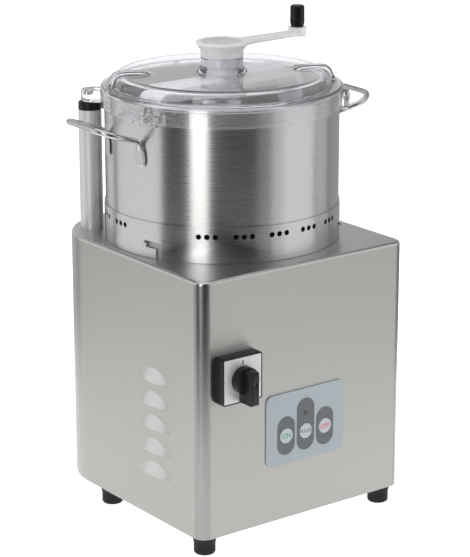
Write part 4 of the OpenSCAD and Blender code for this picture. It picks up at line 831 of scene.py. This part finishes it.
def lug_parts(angle):
    """The block of a small lug and what is cut from it: two cells and the hole of its screw."""
    outer, floor = LID_OUT_R + LUG_OUT, LUG_LOW + CELL_FLOOR
    body = block((LID_OUT_R - LUG_ROOT, -LUG_HALF, LUG_LOW), (outer, LUG_HALF, LUG_TOP), angle, 0.8)
    cells = []
    for middle in (-CELL_OFFSET, CELL_OFFSET):
        low = (outer - CELL_DEPTH, middle - CELL_HALF, floor)
        high = (outer + 3, middle + CELL_HALF, LUG_TOP - CELL_FLOOR)
        cells.append(block(low, high, angle, 0.4))
    cells.append(pillar(LUG_HOLE_R, floor, LUG_TOP + 1, polar(outer - LUG_HOLE_IN, angle), 24))
    return body, cells


def make_lid():
    """The clear moulding with its three small lugs, the long lug over the post, and its rib."""
    lid = scratch_shape(*lid_shell())
    added, cut = [], []
    for angle in LUG_ANGLES:
        body, cells = lug_parts(angle)
        added.append(scratch(body))
        cut += [scratch(c) for c in cells]
    reach = POST_ORBIT - LONG_LUG_SHORT
    low, high = (LID_OUT_R - LUG_ROOT, -LONG_LUG_HALF, LUG_LOW), (reach, LONG_LUG_HALF, LUG_TOP)
    added.append(scratch(block(low, high, POST_ANGLE, 0.6)))
    low, high = LUG_LOW + LONG_LUG_STEP, LUG_TOP - LONG_LUG_STEP
    added.append(scratch(pillar(LONG_LUG_HALF, low, high, polar(reach, POST_ANGLE), 48, 0.7)))
    post = polar(POST_ORBIT, POST_ANGLE)
    cut.append(scratch(pillar(POST_HOLE_R, LUG_TOP - POST_HOLE_DEPTH, LUG_TOP + 1, post, 32)))
    added += [scratch(block(*corners, RIB_ANGLE, RIB_SOFT)) for corners in RIBS]
    combine(lid, added, "UNION")
    combine(lid, cut, "DIFFERENCE")
    take(lid, "clear_lid", "lid_plastic", "lid", ("lid",), 30)


# Crank: feed cup and tube, arm and boss, and the knob

FILLET_SHARE, FILLET_STEPS = 0.45, 4
ROUND_SIDES, BOSS_SIDES = 96, 64


def fillet_line(points, length):
    """Rounds the corners of a line of (radius, height) points over at most a length."""
    out = [points[0]]
    for a, b, c in zip(points, points[1:], points[2:]):
        reach = min(length, FILLET_SHARE * math.dist(a, b), FILLET_SHARE * math.dist(b, c))
        start = [q + (p - q) * reach / math.dist(a, b) for p, q in zip(a, b)]
        end = [q + (p - q) * reach / math.dist(c, b) for p, q in zip(c, b)]
        for i in range(FILLET_STEPS + 1):
            t = i / FILLET_STEPS
            weights = ((1 - t) ** 2, 2 * t * (1 - t), t * t)
            out.append(tuple(
                weights[0] * s + weights[1] * q + weights[2] * e for s, q, e in zip(start, b, end)
            ))
    out.append(points[-1])
    return out


CUP_TOP, CUP_SEAT, TUBE_LOW, TUBE_R, TUBE_IN_R = 489.3, 473.0, 438.0, 15.5, 13.2
JOURNAL_R, JOURNAL_LOW = 18.3, 463.9
# Radius, foot and top of what is cut from the arm inside the cup, and from the boss round the pin
CUP_HOLLOW, PIN_HOLE = (21.0, 470, 495), (4.0, 480, 495)
CRANK_ANGLE, CRANK_ARM = 3, 102.0
KNOB_AT = polar(CRANK_ARM, CRANK_ANGLE)
ARM_LOW, ARM_TOP, ARM_POWER, ARM_SIDES = 483.1, 488.1, 5.0, 32
BOSS_TOP, BOSS_R = 492.1, 9.8
# Distance from the crank axis and half width of the arm
ARM_STATIONS = (
    (20.0, 16.5), (25.0, 15.0), (29.0, 12.6), (34.0, 11.6), (60.0, 10.2), (94.0, 8.7), (102.0, 7.5),
)
# Radius and height round the cup and its tube, closed, and up the boss
CUP_LINE = (
    (TUBE_IN_R, TUBE_LOW), (TUBE_R, TUBE_LOW), (TUBE_R, JOURNAL_LOW), (JOURNAL_R, JOURNAL_LOW),
    (JOURNAL_R, CUP_SEAT), (22.0, CUP_SEAT), (22.0, 479.6), (25.6, 485.6), (27.0, 486.6),
    (27.0, CUP_TOP), (20.7, CUP_TOP), (20.4, 486.0), (TUBE_IN_R, 473.5), (TUBE_IN_R, TUBE_LOW + 0.5),
)
BOSS_LINE = (
    (0.01, ARM_LOW - 0.3), (BOSS_R, ARM_LOW - 0.3), (BOSS_R, ARM_TOP + 0.6),
    (BOSS_R - 0.35, ARM_TOP + 0.9), (BOSS_R, ARM_TOP + 1.2), (BOSS_R, BOSS_TOP), (0.01, BOSS_TOP),
)


def make_crank():
    """Cup, tube, arm and boss in one moulding, with a window in the tube."""
    cup = scratch_shape(*lathe(fillet_line(CUP_LINE, 1.1)[:-1], turns(ROUND_SIDES), closed=True))
    middle, half_thick = (ARM_LOW + ARM_TOP) / 2, (ARM_TOP - ARM_LOW) / 2
    stations = [(r, 0.0, middle, half, half_thick, ARM_POWER) for r, half in ARM_STATIONS]
    verts, faces = rod(chaikin(stations, 2), ARM_SIDES)
    faces.append(tuple(range(len(verts) - ARM_SIDES, len(verts))))
    spin = Matrix.Rotation(math.radians(CRANK_ANGLE), 3, "Z")
    arm = scratch_shape([tuple(spin @ Vector(v)) for v in verts], faces)
    combine(arm, [scratch(pillar(*CUP_HOLLOW))], "DIFFERENCE")
    boss = scratch_shape(*lathe(fillet_line(BOSS_LINE, 0.9), turns(BOSS_SIDES), centre=KNOB_AT))
    combine(cup, [arm, boss], "UNION")
    pin_hole = scratch(pillar(*PIN_HOLE, KNOB_AT))
    combine(cup, [pin_hole, scratch(window_wedge())], "DIFFERENCE")
    take(cup, "crank_moulding", "white_plastic", "crank", ("crank_cup",), 32)


WINDOW_LOW, WINDOW_HIGH, WINDOW_START, WINDOW_TURN, WINDOW_STEPS = 440.0, 470.0, -80, 53, 12
WINDOW_IN_R, WINDOW_OUT_R = 9.0, 22.0


def window_wedge():
    """What is cut from the tube to make its upright window."""
    steps = [WINDOW_START + WINDOW_TURN * i / WINDOW_STEPS for i in range(WINDOW_STEPS + 1)]
    corners = [polar(WINDOW_IN_R, t) for t in steps] + [polar(WINDOW_OUT_R, t) for t in reversed(steps)]
    count = len(corners)
    verts = [(x, y, z) for z in (WINDOW_LOW, WINDOW_HIGH) for x, y in corners]
    faces = grid_faces(2, count)
    return shape(verts, faces + [tuple(range(count)), tuple(range(count, 2 * count))])


KNOB_LOW, KNOB_TOP, KNOB_R = 492.4, 515.0, 8.1
KNOB_LINE = (
    (0.01, KNOB_LOW), (6.9, KNOB_LOW), (7.1, 494.2), (KNOB_R, 497.0), (KNOB_R - 0.25, 505.0),
    (KNOB_R - 0.2, KNOB_TOP - 1.6), (KNOB_R - 1.6, KNOB_TOP - 0.25), (5.0, KNOB_TOP - 0.05),
    (0.01, KNOB_TOP),
)
KNOB_SIDES, KNOB_TURN = 8, 0.2
# Radius where the facets begin, length over which they grow, and how flat they get
FACET_FROM, FACET_OVER, FACET_SHARE = 5.5, 2, 0.8


def make_knob():
    """Eight soft facets, drawn in at the foot and domed at the top."""
    verts = []
    around = turns(ROUND_SIDES)
    half_side = math.pi / KNOB_SIDES
    line = fillet_line(KNOB_LINE, 1.2)
    for r, z in line:
        for t in around:
            off_middle = (t + KNOB_TURN) % (math.tau / KNOB_SIDES) - half_side
            facet = math.cos(half_side) / math.cos(off_middle)
            flat = min(1.0, max(0.0, (r - FACET_FROM) / FACET_OVER))
            rr = r * (1 + (facet - 1) * flat * FACET_SHARE)
            verts.append((KNOB_AT[0] + rr * math.cos(t), KNOB_AT[1] + rr * math.sin(t), z))
    last = (len(line) - 1) * len(around)
    faces = grid_faces(len(line), len(around))
    faces += [tuple(range(len(around))), tuple(range(last, last + len(around)))]
    place(
        "grip_knob", verts, faces, "black_plastic", "crank_knob", ("crank_knob",), 50
    )


# Scraper: two bent straps of channel section on a hub

STRAP_TOP, STRAP_BEND_R, STRAP_BEND_X, STRAP_LOW, STRAP_LOW_X = 452.0, 18.5, 84.0, 372.0, 114.8
STRAP_WALL, STRAP_LEAN, STRAP_LIMIT_R = 3.0, 11, 117.2
STRAP_REACHES, STRAP_BEND_STEPS, STRAP_LEG_STEPS = (14.0, 24.0, 40.0, 56.0, 72.0), 14, 8
# Depth of the flanges along the arm, and what they lose in the bend and down the leg
FLANGE_DEPTH, BEND_LOSS, LEG_LOSS = 12.0, 4.6, 1.4
HUB_R, HUB_IN_R, HUB_LOW, HUB_TOP, BORE_PAST = 18.0, 15.6, 434.2, 454.7, 5
HUB_LINE = ((0.01, HUB_LOW), (HUB_R, HUB_LOW), (HUB_R, HUB_TOP), (0.01, HUB_TOP))
STRAP_LEFT, STRAP_RIGHT, FLANGE_END = -8.0, 25.0, 9.0
# Across the strap: sideways place and depth below the strap's face
STRAP_SECTION_TOP = (
    (STRAP_LEFT, FLANGE_END), (STRAP_LEFT, 1.2), (-7.0, 0.15), (-5.0, 0.0), (1.0, 0.0), (2.2, 0.35),
    (2.9, 1.0), (4.0, 1.25), (9.5, 1.25), (10.4, 1.0), (11.2, 0.3), (12.2, 0.0), (21.5, 0.0),
    (23.6, 0.15), (STRAP_RIGHT, 1.3), (STRAP_RIGHT, FLANGE_END),
)
STRAP_CORNER, STRAP_UNDER = 4.6, STRAP_WALL + 1.2


def strap_section(depth):
    """The strap's section where its flanges reach down to a depth."""
    top = [(v, depth if d == FLANGE_END else d) for v, d in STRAP_SECTION_TOP]
    right, left = STRAP_RIGHT - STRAP_WALL, STRAP_LEFT + STRAP_WALL
    inner = [(right, depth), (right, STRAP_CORNER), (20.6, STRAP_UNDER)]
    return top + inner + [(-3.6, STRAP_UNDER), (left, STRAP_CORNER), (left, depth)]


def strap_line():
    """Points of the strap's face with the depth of its flanges: (x, z, normal x, normal z, depth)."""
    line = [(x, STRAP_TOP, 0.0, 1.0, FLANGE_DEPTH) for x in STRAP_REACHES]
    for i in range(STRAP_BEND_STEPS + 1):
        t = math.radians(90 - (90 - STRAP_LEAN) * i / STRAP_BEND_STEPS)
        x = STRAP_BEND_X + STRAP_BEND_R * math.cos(t)
        z = STRAP_TOP - STRAP_BEND_R + STRAP_BEND_R * math.sin(t)
        line.append((x, z, math.cos(t), math.sin(t), FLANGE_DEPTH - BEND_LOSS * i / STRAP_BEND_STEPS))
    x0, z0, nx, nz, depth = line[-1]
    for i in range(1, STRAP_LEG_STEPS + 1):
        s = i / STRAP_LEG_STEPS
        x, z = x0 + (STRAP_LOW_X - x0) * s, z0 + (STRAP_LOW - z0) * s
        line.append((x, z, nx, nz, depth - LEG_LOSS * s))
    return line


def make_scraper():
    """Two opposite straps on a hub, held inside the bowl's wall."""
    straps = []
    line = strap_line()
    count = len(strap_section(FLANGE_DEPTH))
    faces = grid_faces(len(line), count)
    faces += [tuple(range(count)), tuple(range((len(line) - 1) * count, len(line) * count))]
    for turn in (0, 180):
        spin = Matrix.Rotation(math.radians(CRANK_ANGLE + turn), 3, "Z")
        verts = []
        for x, z, nx, nz, depth in line:
            for v, d in strap_section(depth):
                px = min(x - nx * d, math.sqrt(STRAP_LIMIT_R**2 - v * v))
                verts.append(tuple(spin @ Vector((px, v, z - nz * d))))
        straps.append(scratch_shape(verts, faces))
    hub = scratch_shape(*lathe(fillet_line(HUB_LINE, 0.8), turns(ROUND_SIDES)))
    combine(hub, straps, "UNION")
    bore = scratch(pillar(HUB_IN_R, HUB_LOW - BORE_PAST, HUB_TOP + BORE_PAST, around=ROUND_SIDES))
    combine(hub, [bore], "DIFFERENCE")
    take(hub, "wall_scraper", "white_plastic", "crank", ("scraper",), 40)


# Softened copies of hard-edged nodes

# Node, bevel in millimetres, and its material
SOFTENED = (
    ("switch_block", 0.8, "black_plastic"),
    ("switch_knob", 0.7, "black_plastic"),
    ("post_cap", 0.5, "black_plastic"),
    ("cable_gland", 0.5, "black_plastic"),
    ("hub_disc", 0.8, "white_plastic"),
    ("blade_hub", 0.8, "white_plastic"),
)
# Angles between faces, in degrees, that count as flat and as a sharp edge
FLAT_ANGLE, SHARP_ANGLE = 0.5, 30


def soften(node, width, material):
    """A copy of a node's shape with its sharp edges rounded, in place of the node."""
    source = frame["nodes"][node]
    work = bmesh.new()
    work.from_mesh(source.data)
    bmesh.ops.remove_doubles(work, verts=work.verts, dist=WELD * MM)
    bmesh.ops.dissolve_limit(
        work, angle_limit=math.radians(FLAT_ANGLE), verts=work.verts, edges=work.edges
    )
    limit = math.radians(SHARP_ANGLE)
    sharp = [e for e in work.edges if len(e.link_faces) == 2 and e.calc_face_angle(0) > limit]
    bmesh.ops.bevel(
        work, geom=sharp, offset=width * MM, segments=BEVEL_STEPS, profile=0.5, affect="EDGES",
        clamp_overlap=True,
    )
    mesh = bpy.data.meshes.new("soft_" + node)
    work.to_mesh(mesh)
    work.free()
    return finish_piece("soft_" + node, mesh, material, source["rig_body"], (node,), 40)


# Lettering on the buttons and on the switch plate

# Name, text, button it is on, width and height in millimetres, ink and slot
BUTTON_WORDS = (
    ("word_on", "ON", "button_on", 11.0, 5.2, "ink_green", "button_green"),
    ("word_pulse", "PULSE", "button_pulse", 15.2, 3.9, "ink_grey", "button_grey"),
    ("word_off", "OFF", "button_off", 12.4, 4.9, "ink_red", "button_red"),
)
# Name, text, place on the plate from its middle, and width in millimetres
PLATE_MARKS = (
    ("mark_one", "1", (0, 0, 17.6), 1.9),
    ("mark_zero", "0", (18.2, 0, 0), 2.6),
)
MARK_HEIGHT, INK_DEPTH = 3.9, 0.05
# Thickness of the letters before they are fitted, and how far their outlines are spread
LETTER_EXTRUDE, LETTER_SPREAD = 0.5, 0.012


def lettering(name, text, centre, width, height, material, body):
    """Flat letters on a face that looks along -Y, fitted to a width and height in millimetres."""
    curve = bpy.data.curves.new(name, "FONT")
    curve.body = text
    curve.extrude = LETTER_EXTRUDE
    curve.offset = LETTER_SPREAD
    curve.align_x, curve.align_y = "CENTER", "CENTER"
    source = bpy.data.objects.new(name + "_curve", curve)
    mesh = bpy.data.meshes.new_from_object(source)
    bpy.data.objects.remove(source)
    low = [min(v.co[i] for v in mesh.vertices) for i in range(3)]
    high = [max(v.co[i] for v in mesh.vertices) for i in range(3)]
    size = (width, height, INK_DEPTH)
    for v in mesh.vertices:
        x, y, z = (
            (v.co[i] - (low[i] + high[i]) / 2) * size[i] * MM / (high[i] - low[i]) for i in range(3)
        )
        v.co = Vector((x, -z, y)) + centre
    mesh.materials.clear()
    mesh.materials.append(MATERIALS[material])
    piece = bpy.data.objects.new(name, mesh)
    bpy.context.scene.collection.objects.link(piece)
    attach(piece, body)
    return piece


def front_of(node, shift=(0, 0, 0)):
    """The middle of a node's front face, shifted by millimetres."""
    low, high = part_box(node)
    middle = (low + high) / 2 + Vector(shift) * MM
    middle.y = low.y
    return middle


def make_words():
    """The words on the keys and the marks on the switch plate."""
    for name, text, button, width, height, ink, slot in BUTTON_WORDS:
        lettering(name, text, front_of(button), width, height, ink, button)
    for name, text, shift, width in PLATE_MARKS:
        centre = front_of("switch_bezel", shift)
        lettering(name, text, centre, width, MARK_HEIGHT, "ink_grey", "base")


make_camera()
make_studio()
dress_nodes()
make_handles()
make_lid()
make_crank()
make_knob()
make_scraper()
for values in SOFTENED:
    soften(*values)
make_words()
